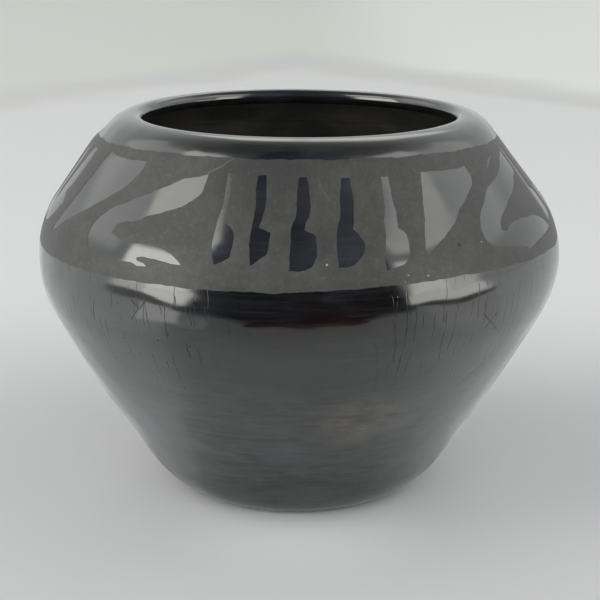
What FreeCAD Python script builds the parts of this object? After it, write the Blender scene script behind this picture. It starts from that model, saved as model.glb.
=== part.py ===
import FreeCAD, Part
import math
import os
import Sketcher

# Hand-coiled black clay pot, stone-burnished, with a dull slip band painted
# round its shoulder. Units are millimetres. +Z is up, the origin is the
# centre of the flat foot, on the surface that the pot stands on.
#
# The pot is a body of revolution about Z. Its finished outer profile is a
# chain of tangent arcs with one straight run, followed here by the direction
# of its outward normal (degrees above horizontal): the heel, the lower wall
# curve, the long flaring wall, the shoulder, the straight upper wall, and the
# two arcs of the rounded lip. The clay is a pat and ten coils that meet on
# lapped, conical joints. The burnished slip is a thin skin over them, from
# the heel over the lip, and the dull band is a thinner skin over that.

doc = FreeCAD.newDocument("black_clay_pot")

SIZES = [
    # alias, value, what it is
    ("foot_flat_radius", 24.63, "flat part of the foot"),
    ("heel_radius", 10.0, "heel arc"),
    ("heel_end_angle", -76.0, "normal where the heel ends"),
    ("turn_radius", 28.29, "curve from the heel into the wall"),
    ("slip_start_angle", -72.0, "normal where the slip starts"),
    ("turn_end_angle", -35.45, "normal where the wall starts"),
    ("wall_radius", 411.16, "long flaring wall"),
    ("wall_end_angle", -27.93, "normal where the shoulder starts"),
    ("shoulder_radius", 29.5, "shoulder"),
    ("shoulder_end_angle", 35.56, "normal of the straight upper wall"),
    ("upper_wall_length", 23.78, "straight run below the lip"),
    ("lip_outer_radius", 9.76, "outer arc of the lip"),
    ("lip_inner_radius", 2.34, "inner arc of the lip"),
    ("lip_roll_angle", 235.56, "normal where the slip ends inside"),
    ("wall_thickness", 5.5, "finished wall"),
    ("floor_thickness", 7.0, "floor of the pot"),
    ("floor_corner_radius", 17.5, "inside curve from floor to wall"),
    ("slip_thickness", 0.35, "burnished slip"),
    ("paint_thickness", 0.2, "dull slip band"),
    ("band_start_angle", 10.73, "normal at the band's lower edge"),
    ("band_upper_run", 23.33, "band's length on the upper wall"),
    ("repeat_count", 4, "repeats of the painted figures"),
    ("joint_reach", 150.0, "height of each joint's cone, beyond the lip"),
    # lapped joints between the coils: height on the outer profile, radius
    # there, and slope of the cone down towards the inside
    ("joint_a_height", 9.0, "slab to first coil, level joint"),
    ("joint_b_height", 18.5, "second joint"),
    ("joint_b_radius", 48.2, ""),
    ("joint_b_slope", 10.0, ""),
    ("joint_c_height", 29.0, "third joint"),
    ("joint_c_radius", 55.1, ""),
    ("joint_c_slope", 16.0, ""),
    ("joint_d_height", 39.5, "fourth joint"),
    ("joint_d_radius", 61.6, ""),
    ("joint_d_slope", 18.0, ""),
    ("joint_e_height", 50.5, "fifth joint"),
    ("joint_e_radius", 67.9, ""),
    ("joint_e_slope", 18.0, ""),
    ("joint_f_height", 62.5, "sixth joint, below the shoulder"),
    ("joint_f_radius", 73.8, ""),
    ("joint_f_slope", 20.0, ""),
    ("joint_g_height", 79.5, "seventh joint, above the shoulder"),
    ("joint_g_radius", 73.8, ""),
    ("joint_g_slope", 35.0, ""),
    ("joint_i_height", 89.9, "eighth joint"),
    ("joint_i_radius", 68.3, ""),
    ("joint_i_slope", 45.0, ""),
    ("joint_j_height", 98.3, "ninth joint"),
    ("joint_j_radius", 62.3, ""),
    ("joint_j_slope", 50.0, ""),
    ("joint_k_height", 105.4, "tenth joint, below the lip"),
    ("joint_k_radius", 57.2, ""),
    ("joint_k_slope", 50.0, ""),
]

sheet = doc.addObject("Spreadsheet::Sheet", "sheet")
sheet.set("A1", "alias")
sheet.set("B1", "value")
sheet.set("C1", "note")
for row, (alias, value, note) in enumerate(SIZES, start=2):
    sheet.set("A%d" % row, alias)
    sheet.set("B%d" % row, str(value))
    sheet.set("C%d" % row, note)
    sheet.setAlias("B%d" % row, alias)
doc.recompute()


def size(alias):
    return float(sheet.get(alias))


def vec(p):
    return FreeCAD.Vector(p[0], p[1], 0)


def unit(angle):
    return (math.cos(math.radians(angle)), math.sin(math.radians(angle)))


def plus(p, angle, length):
    u = unit(angle)
    return (p[0] + length * u[0], p[1] + length * u[1])


# ---------------------------------------------------------------- profile
# Centres of the arcs and the points where they meet, worked out from the
# sheet, so that each sketch starts on its own solution.
FOOT = size("foot_flat_radius")
HEEL = size("heel_radius")
HEEL_END = size("heel_end_angle")
TURN = size("turn_radius")
SLIP_START = size("slip_start_angle")
TURN_END = size("turn_end_angle")
WALL = size("wall_radius")
WALL_END = size("wall_end_angle")
SHOULDER = size("shoulder_radius")
SHOULDER_END = size("shoulder_end_angle")
RUN = size("upper_wall_length")
LIP_OUT = size("lip_outer_radius")
LIP_IN = size("lip_inner_radius")
ROLL = size("lip_roll_angle")
THICK = size("wall_thickness")
FLOOR = size("floor_thickness")
CORNER = size("floor_corner_radius")
SLIP = size("slip_thickness")
PAINT = size("paint_thickness")
BAND_START = size("band_start_angle")
BAND_RUN = size("band_upper_run")

heel_c = (FOOT, HEEL)
turn_c = plus(plus(heel_c, HEEL_END, HEEL), HEEL_END, -TURN)
wall_c = plus(plus(turn_c, TURN_END, TURN), TURN_END, -WALL)
shoulder_c = plus(plus(wall_c, WALL_END, WALL), WALL_END, -SHOULDER)
run_start = plus(shoulder_c, SHOULDER_END, SHOULDER)
run_end = plus(run_start, SHOULDER_END + 90, RUN)
lip_out_c = plus(run_end, SHOULDER_END, -LIP_OUT)
lip_in_c = plus(plus(lip_out_c, 90, LIP_OUT), 90, -LIP_IN)
roll_end = plus(lip_in_c, ROLL, LIP_IN)
# the hollow curve below the lip, inside, runs from the lip to the inner face
# of the upper wall, so its radius follows from the wall's thickness
inward = unit(SHOULDER_END)
THROAT = (
    (run_start[0] - roll_end[0]) * inward[0]
    + (run_start[1] - roll_end[1]) * inward[1] - THICK
) / (1 + math.cos(math.radians(ROLL - SHOULDER_END)))
throat_c = plus(roll_end, ROLL, THROAT)
throat_end = plus(throat_c, SHOULDER_END, THROAT)
inner_run_end = plus(shoulder_c, SHOULDER_END, SHOULDER - THICK)
# the inside corner arc touches the floor and, from within, the wall's arc
corner_z = FLOOR + CORNER
gap = WALL - THICK - CORNER
corner_x = wall_c[0] + math.sqrt(gap ** 2 - (corner_z - wall_c[1]) ** 2)
corner_c = (corner_x, corner_z)
corner_angle = math.degrees(
    math.atan2(corner_z - wall_c[1], corner_x - wall_c[0])
)


class Chain:
    """Adds lines and arcs to a sketch and ties them to each other."""

    def __init__(self, sketch):
        self.sketch = sketch

    def line(self, start, end, helper=False):
        return self.sketch.addGeometry(
            Part.LineSegment(vec(start), vec(end)), helper
        )

    def arc(self, centre, radius, low, high, helper=False):
        circle = Part.Circle(vec(centre), FreeCAD.Vector(0, 0, 1), radius)
        return self.sketch.addGeometry(
            Part.ArcOfCircle(circle, math.radians(low), math.radians(high)),
            helper,
        )

    def tie(self, kind, *where):
        return self.sketch.addConstraint(Sketcher.Constraint(kind, *where))

    def drive(self, kind, where, value, expression):
        index = self.sketch.addConstraint(
            Sketcher.Constraint(kind, *where, value)
        )
        self.sketch.setExpression("Constraints[%d]" % index, expression)
        return index

    def radius(self, geometry, value, expression):
        return self.drive("Radius", (geometry,), value, expression)

    def sweep(self, geometry, degrees, expression):
        return self.drive(
            "Angle", (geometry,), math.radians(degrees),
            "(%s) * 1 deg" % expression,
        )

    def length(self, geometry, value, expression):
        return self.drive("Distance", (geometry,), value, expression)


def origin_feature(body, role):
    for feature in body.Origin.OriginFeatures:
        if feature.Role == role:
            return feature
    raise RuntimeError(role)


def new_sketch(body, name):
    sketch = body.newObject("Sketcher::SketchObject", name)
    sketch.AttachmentSupport = [(origin_feature(body, "XZ_Plane"), "")]
    sketch.MapMode = "FlatFace"
    return sketch


def revolve(body, sketch, name):
    feature = body.newObject("PartDesign::Revolution", name)
    feature.Profile = (sketch, [""])
    feature.ReferenceAxis = (sketch, ["V_Axis"])
    feature.Angle = 360.0
    body.Tip = feature
    return feature


def heel_chain(c, helper):
    """Flat foot, heel arc and the first bit of the turn, up to the slip."""
    foot = c.line((0, 0), (FOOT, 0), helper)
    heel = c.arc(heel_c, HEEL, -90, HEEL_END, helper)
    turn = c.arc(turn_c, TURN, HEEL_END, SLIP_START, helper)
    c.tie("Coincident", foot, 1, -1, 1)
    c.tie("Horizontal", foot)
    c.length(foot, FOOT, "sheet.foot_flat_radius")
    c.tie("Tangent", foot, 2, heel, 1)
    c.radius(heel, HEEL, "sheet.heel_radius")
    c.sweep(heel, HEEL_END + 90, "sheet.heel_end_angle + 90")
    c.tie("Tangent", heel, 2, turn, 1)
    c.radius(turn, TURN, "sheet.turn_radius")
    c.sweep(turn, SLIP_START - HEEL_END,
            "sheet.slip_start_angle - sheet.heel_end_angle")
    return foot, heel, turn


# ------------------------------------------------------------------- clay
# The whole clay wall and floor as one form. The coils are cut out of it.
# Its outside lies one slip thickness below the finished surface, with a
# small step at each end of the slip.
clay = doc.addObject("PartDesign::Body", "clay_form")
clay_sketch = new_sketch(clay, "clay_profile")
c = Chain(clay_sketch)
foot, heel, turn = heel_chain(c, False)
step_low = c.line(plus(turn_c, SLIP_START, TURN),
                  plus(turn_c, SLIP_START, TURN - SLIP))
turn_in = c.arc(turn_c, TURN - SLIP, SLIP_START, TURN_END)
wall = c.arc(wall_c, WALL - SLIP, TURN_END, WALL_END)
shoulder = c.arc(shoulder_c, SHOULDER - SLIP, WALL_END, SHOULDER_END)
run = c.line(plus(run_start, SHOULDER_END, -SLIP),
             plus(run_end, SHOULDER_END, -SLIP))
lip_out = c.arc(lip_out_c, LIP_OUT - SLIP, SHOULDER_END, 90)
lip_in = c.arc(lip_in_c, LIP_IN - SLIP, 90, ROLL)
step_high = c.line(plus(lip_in_c, ROLL, LIP_IN - SLIP), roll_end)
throat = c.arc(throat_c, THROAT, SHOULDER_END, ROLL - 180)
inner_run = c.line(throat_end, inner_run_end)
inner_shoulder = c.arc(shoulder_c, SHOULDER - THICK, WALL_END, SHOULDER_END)
inner_wall = c.arc(wall_c, WALL - THICK, corner_angle, WALL_END)
corner = c.arc(corner_c, CORNER, -90, corner_angle)
floor = c.line((corner_c[0], FLOOR), (0, FLOOR))
axis = c.line((0, FLOOR), (0, 0))

c.tie("Coincident", step_low, 1, turn, 2)
c.tie("Perpendicular", step_low, turn)
c.length(step_low, SLIP, "sheet.slip_thickness")
c.tie("Coincident", turn_in, 3, turn, 3)
c.tie("Coincident", turn_in, 1, step_low, 2)
c.sweep(turn_in, TURN_END - SLIP_START,
        "sheet.turn_end_angle - sheet.slip_start_angle")
c.tie("Tangent", turn_in, 2, wall, 1)
c.radius(wall, WALL - SLIP, "sheet.wall_radius - sheet.slip_thickness")
c.sweep(wall, WALL_END - TURN_END,
        "sheet.wall_end_angle - sheet.turn_end_angle")
c.tie("Tangent", wall, 2, shoulder, 1)
c.radius(shoulder, SHOULDER - SLIP,
         "sheet.shoulder_radius - sheet.slip_thickness")
c.sweep(shoulder, SHOULDER_END - WALL_END,
        "sheet.shoulder_end_angle - sheet.wall_end_angle")
c.tie("Tangent", shoulder, 2, run, 1)
c.length(run, RUN, "sheet.upper_wall_length")
c.tie("Tangent", run, 2, lip_out, 1)
c.radius(lip_out, LIP_OUT - SLIP,
         "sheet.lip_outer_radius - sheet.slip_thickness")
c.sweep(lip_out, 90 - SHOULDER_END, "90 - sheet.shoulder_end_angle")
c.tie("Tangent", lip_out, 2, lip_in, 1)
c.radius(lip_in, LIP_IN - SLIP,
         "sheet.lip_inner_radius - sheet.slip_thickness")
c.sweep(lip_in, ROLL - 90, "sheet.lip_roll_angle - 90")
c.tie("Coincident", step_high, 1, lip_in, 2)
c.tie("Perpendicular", step_high, lip_in)
c.length(step_high, SLIP, "sheet.slip_thickness")
c.tie("Coincident", throat, 2, step_high, 2)
c.tie("Perpendicular", throat, step_high)
c.tie("Tangent", throat, 1, inner_run, 1)
c.tie("Coincident", inner_shoulder, 3, shoulder, 3)
c.radius(inner_shoulder, SHOULDER - THICK,
         "sheet.shoulder_radius - sheet.wall_thickness")
c.tie("Parallel", inner_run, run)
c.tie("Tangent", inner_run, 2, inner_shoulder, 2)
c.tie("Coincident", inner_wall, 3, wall, 3)
c.tie("Tangent", inner_wall, 2, inner_shoulder, 1)
c.tie("Tangent", corner, 2, inner_wall, 1)
c.radius(corner, CORNER, "sheet.floor_corner_radius")
c.tie("Tangent", corner, 1, floor, 1)
c.tie("Horizontal", floor)
c.tie("Coincident", floor, 2, axis, 1)
c.tie("Coincident", axis, 2, foot, 1)
c.tie("Vertical", axis)
c.length(axis, FLOOR, "sheet.floor_thickness")
doc.recompute()
revolve(clay, clay_sketch, "clay_turn")
doc.recompute()

# --------------------------------------------------------- burnished slip
# One skin of even thickness from the heel over the lip to the throat.
slip_body = doc.addObject("PartDesign::Body", "burnished_slip")
slip_sketch = new_sketch(slip_body, "slip_profile")
c = Chain(slip_sketch)
foot, heel, turn = heel_chain(c, True)
turn_out = c.arc(turn_c, TURN, SLIP_START, TURN_END)
wall_out = c.arc(wall_c, WALL, TURN_END, WALL_END)
shoulder_out = c.arc(shoulder_c, SHOULDER, WALL_END, SHOULDER_END)
run_out = c.line(run_start, run_end)
lip_a = c.arc(lip_out_c, LIP_OUT, SHOULDER_END, 90)
lip_b = c.arc(lip_in_c, LIP_IN, 90, ROLL)
edge_high = c.line(roll_end, plus(lip_in_c, ROLL, LIP_IN - SLIP))
lip_b_in = c.arc(lip_in_c, LIP_IN - SLIP, 90, ROLL)
lip_a_in = c.arc(lip_out_c, LIP_OUT - SLIP, SHOULDER_END, 90)
run_in = c.line(plus(run_end, SHOULDER_END, -SLIP),
                plus(run_start, SHOULDER_END, -SLIP))
shoulder_in = c.arc(shoulder_c, SHOULDER - SLIP, WALL_END, SHOULDER_END)
wall_in = c.arc(wall_c, WALL - SLIP, TURN_END, WALL_END)
turn_in = c.arc(turn_c, TURN - SLIP, SLIP_START, TURN_END)
edge_low = c.line(plus(turn_c, SLIP_START, TURN - SLIP),
                  plus(turn_c, SLIP_START, TURN))

c.tie("Coincident", turn_out, 3, turn, 3)
c.tie("Coincident", turn_out, 1, turn, 2)
c.sweep(turn_out, TURN_END - SLIP_START,
        "sheet.turn_end_angle - sheet.slip_start_angle")
c.tie("Tangent", turn_out, 2, wall_out, 1)
c.radius(wall_out, WALL, "sheet.wall_radius")
c.sweep(wall_out, WALL_END - TURN_END,
        "sheet.wall_end_angle - sheet.turn_end_angle")
c.tie("Tangent", wall_out, 2, shoulder_out, 1)
c.radius(shoulder_out, SHOULDER, "sheet.shoulder_radius")
c.sweep(shoulder_out, SHOULDER_END - WALL_END,
        "sheet.shoulder_end_angle - sheet.wall_end_angle")
c.tie("Tangent", shoulder_out, 2, run_out, 1)
c.length(run_out, RUN, "sheet.upper_wall_length")
c.tie("Tangent", run_out, 2, lip_a, 1)
c.radius(lip_a, LIP_OUT, "sheet.lip_outer_radius")
c.sweep(lip_a, 90 - SHOULDER_END, "90 - sheet.shoulder_end_angle")
c.tie("Tangent", lip_a, 2, lip_b, 1)
c.radius(lip_b, LIP_IN, "sheet.lip_inner_radius")
c.sweep(lip_b, ROLL - 90, "sheet.lip_roll_angle - 90")
c.tie("Coincident", edge_high, 1, lip_b, 2)
c.tie("Perpendicular", edge_high, lip_b)
c.length(edge_high, SLIP, "sheet.slip_thickness")
c.tie("Coincident", lip_b_in, 3, lip_b, 3)
c.tie("Coincident", lip_b_in, 2, edge_high, 2)
c.tie("Coincident", lip_a_in, 3, lip_a, 3)
c.tie("Tangent", lip_a_in, 2, lip_b_in, 1)
c.tie("Parallel", run_in, run_out)
c.tie("Tangent", run_in, 1, lip_a_in, 1)
c.tie("Coincident", shoulder_in, 3, shoulder_out, 3)
c.tie("Tangent", run_in, 2, shoulder_in, 2)
c.tie("Coincident", wall_in, 3, wall_out, 3)
c.tie("Tangent", shoulder_in, 1, wall_in, 2)
c.tie("Coincident", turn_in, 3, turn_out, 3)
c.tie("Tangent", wall_in, 1, turn_in, 2)
c.tie("Coincident", edge_low, 2, turn_out, 1)
c.tie("Perpendicular", edge_low, turn_out)
c.tie("Coincident", edge_low, 1, turn_in, 1)
doc.recompute()
revolve(slip_body, slip_sketch, "slip_turn")
doc.recompute()

# -------------------------------------------------------- dull slip band
# A thinner skin over the burnished slip, from just above the widest part
# nearly up to the lip. The figures are left bare: their outlines go right
# through it, and show the burnished slip below.
band_body = doc.addObject("PartDesign::Body", "matte_slip_band")
band_sketch = new_sketch(band_body, "band_profile")
c = Chain(band_sketch)
foot, heel, turn = heel_chain(c, True)
turn_out = c.arc(turn_c, TURN, SLIP_START, TURN_END, True)
wall_out = c.arc(wall_c, WALL, TURN_END, WALL_END, True)
belly = c.arc(shoulder_c, SHOULDER, WALL_END, BAND_START, True)
band_low_in = plus(shoulder_c, BAND_START, SHOULDER)
band_low_out = plus(shoulder_c, BAND_START, SHOULDER + PAINT)
band_high_in = plus(run_start, SHOULDER_END + 90, BAND_RUN)
band_high_out = plus(band_high_in, SHOULDER_END, PAINT)
under_arc = c.arc(shoulder_c, SHOULDER, BAND_START, SHOULDER_END)
under_run = c.line(run_start, band_high_in)
top_edge = c.line(band_high_in, band_high_out)
over_run = c.line(band_high_out, plus(run_start, SHOULDER_END, PAINT))
over_arc = c.arc(shoulder_c, SHOULDER + PAINT, BAND_START, SHOULDER_END)
low_edge = c.line(band_low_out, band_low_in)

c.tie("Coincident", turn_out, 3, turn, 3)
c.tie("Coincident", turn_out, 1, turn, 2)
c.sweep(turn_out, TURN_END - SLIP_START,
        "sheet.turn_end_angle - sheet.slip_start_angle")
c.tie("Tangent", turn_out, 2, wall_out, 1)
c.radius(wall_out, WALL, "sheet.wall_radius")
c.sweep(wall_out, WALL_END - TURN_END,
        "sheet.wall_end_angle - sheet.turn_end_angle")
c.tie("Tangent", wall_out, 2, belly, 1)
c.radius(belly, SHOULDER, "sheet.shoulder_radius")
c.sweep(belly, BAND_START - WALL_END,
        "sheet.band_start_angle - sheet.wall_end_angle")
c.tie("Coincident", under_arc, 3, belly, 3)
c.tie("Coincident", under_arc, 1, belly, 2)
c.sweep(under_arc, SHOULDER_END - BAND_START,
        "sheet.shoulder_end_angle - sheet.band_start_angle")
c.tie("Tangent", under_arc, 2, under_run, 1)
c.length(under_run, BAND_RUN, "sheet.band_upper_run")
c.tie("Coincident", top_edge, 1, under_run, 2)
c.tie("Perpendicular", top_edge, under_run)
c.length(top_edge, PAINT, "sheet.paint_thickness")
c.tie("Coincident", over_run, 1, top_edge, 2)
c.tie("Parallel", over_run, under_run)
c.tie("Coincident", over_arc, 3, under_arc, 3)
c.tie("Tangent", over_run, 2, over_arc, 2)
c.tie("Coincident", low_edge, 2, under_arc, 1)
c.tie("Perpendicular", low_edge, under_arc)
c.tie("Coincident", low_edge, 1, over_arc, 1)
doc.recompute()
band_turn = revolve(band_body, band_sketch, "band_turn")
doc.recompute()
band_volume_before = band_turn.Shape.Volume

# The figures of one repeat, as outlines of angle about the axis (degrees,
# 0 at the front, -Y, and positive towards +X) and height. Each repeat has a
# hooked scroll, five upright clubs and a wedge.
FIGURES = {
    "scroll": [
        (-22.3, 103.1), (-25.2, 102.2), (-28.6, 101.6), (-31.0, 100.4),
        (-34.0, 98.9), (-36.9, 97.5), (-40.3, 95.9), (-43.3, 94.2),
        (-46.7, 92.6), (-48.6, 91.0), (-50.1, 89.2), (-50.9, 87.1),
        (-51.0, 85.2), (-50.3, 83.5), (-49.3, 82.0), (-46.7, 81.0),
        (-42.5, 80.3), (-39.2, 80.7), (-35.7, 80.7), (-34.8, 80.3),
        (-32.1, 80.4), (-32.6, 80.9), (-34.6, 81.6), (-34.8, 82.1),
        (-33.8, 82.5), (-31.3, 82.5), (-27.5, 82.0), (-24.0, 81.7),
        (-25.1, 83.0), (-27.0, 84.2), (-29.9, 85.4), (-33.3, 85.8),
        (-35.7, 85.7), (-38.4, 85.3), (-41.1, 86.0), (-43.7, 86.9),
        (-43.2, 88.9), (-41.0, 89.8), (-38.1, 90.5), (-35.6, 91.8),
        (-32.2, 93.1), (-27.8, 94.8), (-24.9, 96.7), (-23.1, 98.5),
        (-22.7, 100.7),
    ],
    "club_1": [
        (-17.4, 103.9), (-16.1, 103.9), (-15.9, 97.2), (-16.0, 92.3),
        (-14.3, 91.3), (-13.6, 89.9), (-13.7, 84.7), (-15.4, 83.5),
        (-17.1, 82.7), (-17.8, 86.2), (-17.9, 90.3), (-17.4, 94.4),
        (-17.1, 97.2),
    ],
    "club_2": [
        (-9.4, 103.6), (-7.4, 103.6), (-7.1, 100.4), (-7.1, 97.1),
        (-7.5, 94.3), (-8.3, 91.6), (-5.6, 90.6), (-6.2, 85.6), (-7.7, 84.4),
        (-9.5, 82.9), (-9.9, 86.3), (-9.9, 91.1), (-9.5, 94.3),
        (-9.5, 99.2), (-9.7, 100.8),
    ],
    "club_3": [
        (0.8, 103.3), (2.7, 103.3), (3.1, 100.8), (2.8, 94.4), (2.2, 93.2),
        (1.5, 91.2), (4.0, 89.9), (3.7, 84.8), (2.7, 82.7), (1.0, 81.9),
        (-1.8, 81.8), (-1.5, 87.3), (-1.2, 91.6), (-0.1, 95.0), (0.2, 100.0),
    ],
    "club_4": [
        (11.2, 102.9), (13.4, 102.9), (13.4, 98.7), (12.7, 93.5),
        (12.0, 91.2), (13.4, 89.6), (14.0, 87.2), (13.3, 85.2), (11.6, 83.2),
        (10.0, 82.6), (8.0, 82.6), (8.1, 86.3), (8.5, 90.8), (9.5, 93.5),
        (10.3, 98.8),
    ],
    "club_5": [
        (21.6, 102.9), (23.6, 102.9), (23.0, 97.5), (22.9, 94.3),
        (22.4, 90.7), (23.6, 89.6), (23.8, 86.7), (23.2, 84.0), (21.9, 82.5),
        (17.9, 81.2), (17.8, 84.0), (18.8, 88.0), (19.6, 92.8), (20.4, 95.5),
        (20.8, 97.5),
    ],
    "wedge": [
        (33.2, 103.0), (48.0, 102.6), (49.3, 102.8), (49.8, 100.1),
        (48.8, 98.5), (46.4, 96.9), (43.0, 94.8), (40.1, 93.1), (36.8, 90.2),
        (33.3, 87.9), (29.9, 85.6), (27.6, 83.8), (27.0, 84.8), (27.5, 87.1),
        (29.1, 91.5), (30.7, 96.3), (32.2, 100.3),
    ],
}


def radius_at(height):
    """Finished outer radius of the shoulder and the upper wall."""
    if height <= run_start[1]:
        rise = height - shoulder_c[1]
        return shoulder_c[0] + math.sqrt(SHOULDER ** 2 - rise ** 2)
    drop = height - run_start[1]
    return run_start[0] - drop * math.tan(math.radians(SHOULDER_END))


# One cut per figure kind would be many features: the outlines of one repeat
# share a sketch, cut from the axis plane out through the front of the band,
# and the cut is repeated about the axis.
figure_sketch = new_sketch(band_body, "figure_outlines")
for name in sorted(FIGURES):
    corners = []
    for angle, height in FIGURES[name]:
        r = radius_at(height) + PAINT / 2
        corners.append((r * math.sin(math.radians(angle)), height))
    first = figure_sketch.GeometryCount
    count = len(corners)
    for k in range(count):
        figure_sketch.addGeometry(
            Part.LineSegment(vec(corners[k]), vec(corners[(k + 1) % count])),
            False,
        )
    for k in range(count):
        figure_sketch.addConstraint(Sketcher.Constraint(
            "Coincident", first + k, 2, first + (k + 1) % count, 1))
doc.recompute()
figures = band_body.newObject("PartDesign::Pocket", "figure_cut")
figures.Profile = (figure_sketch, [""])
figures.Type = "ThroughAll"
figures.Reversed = True
band_body.Tip = figures
doc.recompute()
repeats = band_body.newObject("PartDesign::PolarPattern", "figure_repeats")
repeats.Originals = [figures]
repeats.Axis = (figure_sketch, ["V_Axis"])
repeats.Angle = 360.0
repeats.Occurrences = int(size("repeat_count"))
repeats.setExpression("Occurrences", "sheet.repeat_count")
band_body.Tip = repeats
doc.recompute()

# ------------------------------------------------------------ lapped joints
# Each joint is a cone that opens upwards, so that the upper coil sits inside
# the edge of the lower one. The first is level: the coil stands on the slab.
REACH = size("joint_reach")
above = []
level = doc.addObject("Part::Cylinder", "joint_a")
level.Radius = REACH
level.Height = REACH
level.setExpression("Radius", "sheet.joint_reach")
level.setExpression("Height", "sheet.joint_reach")
level.setExpression("Placement.Base.z", "sheet.joint_a_height")
above.append(level)
for letter in "bcdefgijk":
    cone = doc.addObject("Part::Cone", "joint_" + letter)
    key = "sheet.joint_" + letter
    slope = math.radians(size("joint_%s_slope" % letter))
    cone.Radius1 = 0
    cone.Radius2 = REACH / math.tan(slope)
    cone.Height = REACH
    cone.setExpression(
        "Radius2", "sheet.joint_reach / tan(%s_slope * 1 deg)" % key)
    cone.setExpression("Height", "sheet.joint_reach")
    cone.setExpression(
        "Placement.Base.z",
        "%s_height - %s_radius * tan(%s_slope * 1 deg)" % (key, key, key),
    )
    above.append(cone)
doc.recompute()

NAMES = [
    "base_slab",
    "lower_wall_coil_1",
    "lower_wall_coil_2",
    "lower_wall_coil_3",
    "lower_wall_coil_4",
    "lower_wall_coil_5",
    "shoulder_coil",
    "upper_wall_coil_1",
    "upper_wall_coil_2",
    "upper_wall_coil_3",
    "rim_coil",
]

sub_parts = []


def add_sub_part(obj, label):
    obj.Label = label
    obj.Placement = FreeCAD.Placement()
    sub_parts.append(obj)


for index, name in enumerate(NAMES):
    if index == 0:
        piece = doc.addObject("Part::Cut", name)
        piece.Base = clay
        piece.Tool = above[0]
    elif index == len(NAMES) - 1:
        piece = doc.addObject("Part::Common", name)
        piece.Base = clay
        piece.Tool = above[-1]
    else:
        layer = doc.addObject("Part::Cut", name + "_space")
        layer.Base = above[index - 1]
        layer.Tool = above[index]
        piece = doc.addObject("Part::Common", name)
        piece.Base = clay
        piece.Tool = layer
    add_sub_part(piece, name)
add_sub_part(slip_body, "burnished_slip")
add_sub_part(band_body, "matte_slip_band")
doc.recompute()

# ---------------------------------------------------------------- checking
problems = []
for obj in doc.Objects:
    if "Invalid" in obj.State or "Error" in obj.State:
        problems.append("%s: %s" % (obj.Name, obj.State))
for sketch in (clay_sketch, slip_sketch, band_sketch):
    if sketch.solve() != 0:
        problems.append("%s does not solve" % sketch.Name)
if not figures.Shape.Volume < band_volume_before - 1:
    problems.append("the figures cut nothing")
total = 0.0
for obj in sub_parts:
    shape = obj.Shape
    if shape.isNull() or not shape.isValid() or len(shape.Solids) != 1:
        problems.append("%s has a bad shape" % obj.Label)
        continue
    total += shape.Volume
    box = shape.optimalBoundingBox(False, False)
    print("%-18s solids %d  volume %9.1f  z %7.3f to %7.3f  r %6.2f" % (
        obj.Label, len(shape.Solids), shape.Volume, box.ZMin, box.ZMax,
        box.XMax))
clay_total = sum(o.Shape.Volume for o in sub_parts[:len(NAMES)])
if abs(clay_total - clay.Shape.Volume) > 1.0:
    problems.append("the coils don't add up to the clay")
print("clay %.1f, coils %.1f, all pieces %.1f mm3" % (
    clay.Shape.Volume, clay_total, total))
if problems:
    raise RuntimeError("; ".join(problems))

os.makedirs("parts", exist_ok=True)
for obj in sub_parts:
    obj.Shape.exportStep("parts/%s.step" % obj.Label)
print("wrote %d files" % len(sub_parts))
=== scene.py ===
import math

import bpy
import numpy as np
from mathutils.geometry import delaunay_2d_cdt
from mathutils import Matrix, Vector


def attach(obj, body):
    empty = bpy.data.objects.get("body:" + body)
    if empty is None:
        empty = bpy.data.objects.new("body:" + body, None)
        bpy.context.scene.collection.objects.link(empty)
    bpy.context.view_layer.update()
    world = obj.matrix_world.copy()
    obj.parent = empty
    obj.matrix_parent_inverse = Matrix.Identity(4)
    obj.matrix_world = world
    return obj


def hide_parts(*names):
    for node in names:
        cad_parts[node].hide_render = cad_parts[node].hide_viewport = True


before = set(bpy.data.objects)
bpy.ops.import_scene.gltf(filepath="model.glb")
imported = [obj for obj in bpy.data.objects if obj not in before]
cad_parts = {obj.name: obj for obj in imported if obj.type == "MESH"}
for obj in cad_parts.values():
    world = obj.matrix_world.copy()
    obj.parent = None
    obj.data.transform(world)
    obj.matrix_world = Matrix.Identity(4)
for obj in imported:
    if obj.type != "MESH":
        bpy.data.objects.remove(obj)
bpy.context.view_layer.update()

# Black clay pot. Everything is worked out in millimetres on the same turned
# profile as the CAD, then scaled to metres. A point of the skin has an angle
# phi (0 at the front, -Y, positive towards +X) and a distance s along the
# profile.
TAU = 2 * math.pi
RNG = np.random.default_rng(41)

# ---------------------------------------------------------------- profile
FOOT, HEEL, HEEL_END, TURN, TURN_END = 24.63, 10.0, -76.0, 28.29, -35.45
SLIP_START = -72.0
WALL, WALL_END, SHOULDER, SHOULDER_END = 411.16, -27.93, 29.5, 35.56
RUN, LIP_OUT, LIP_IN, ROLL = 23.78, 9.76, 2.34, 235.56
THICK, FLOOR, CORNER, SLIP = 5.5, 7.0, 17.5, 0.35


def unit(a):
    return np.array([math.cos(math.radians(a)), math.sin(math.radians(a))])


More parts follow.
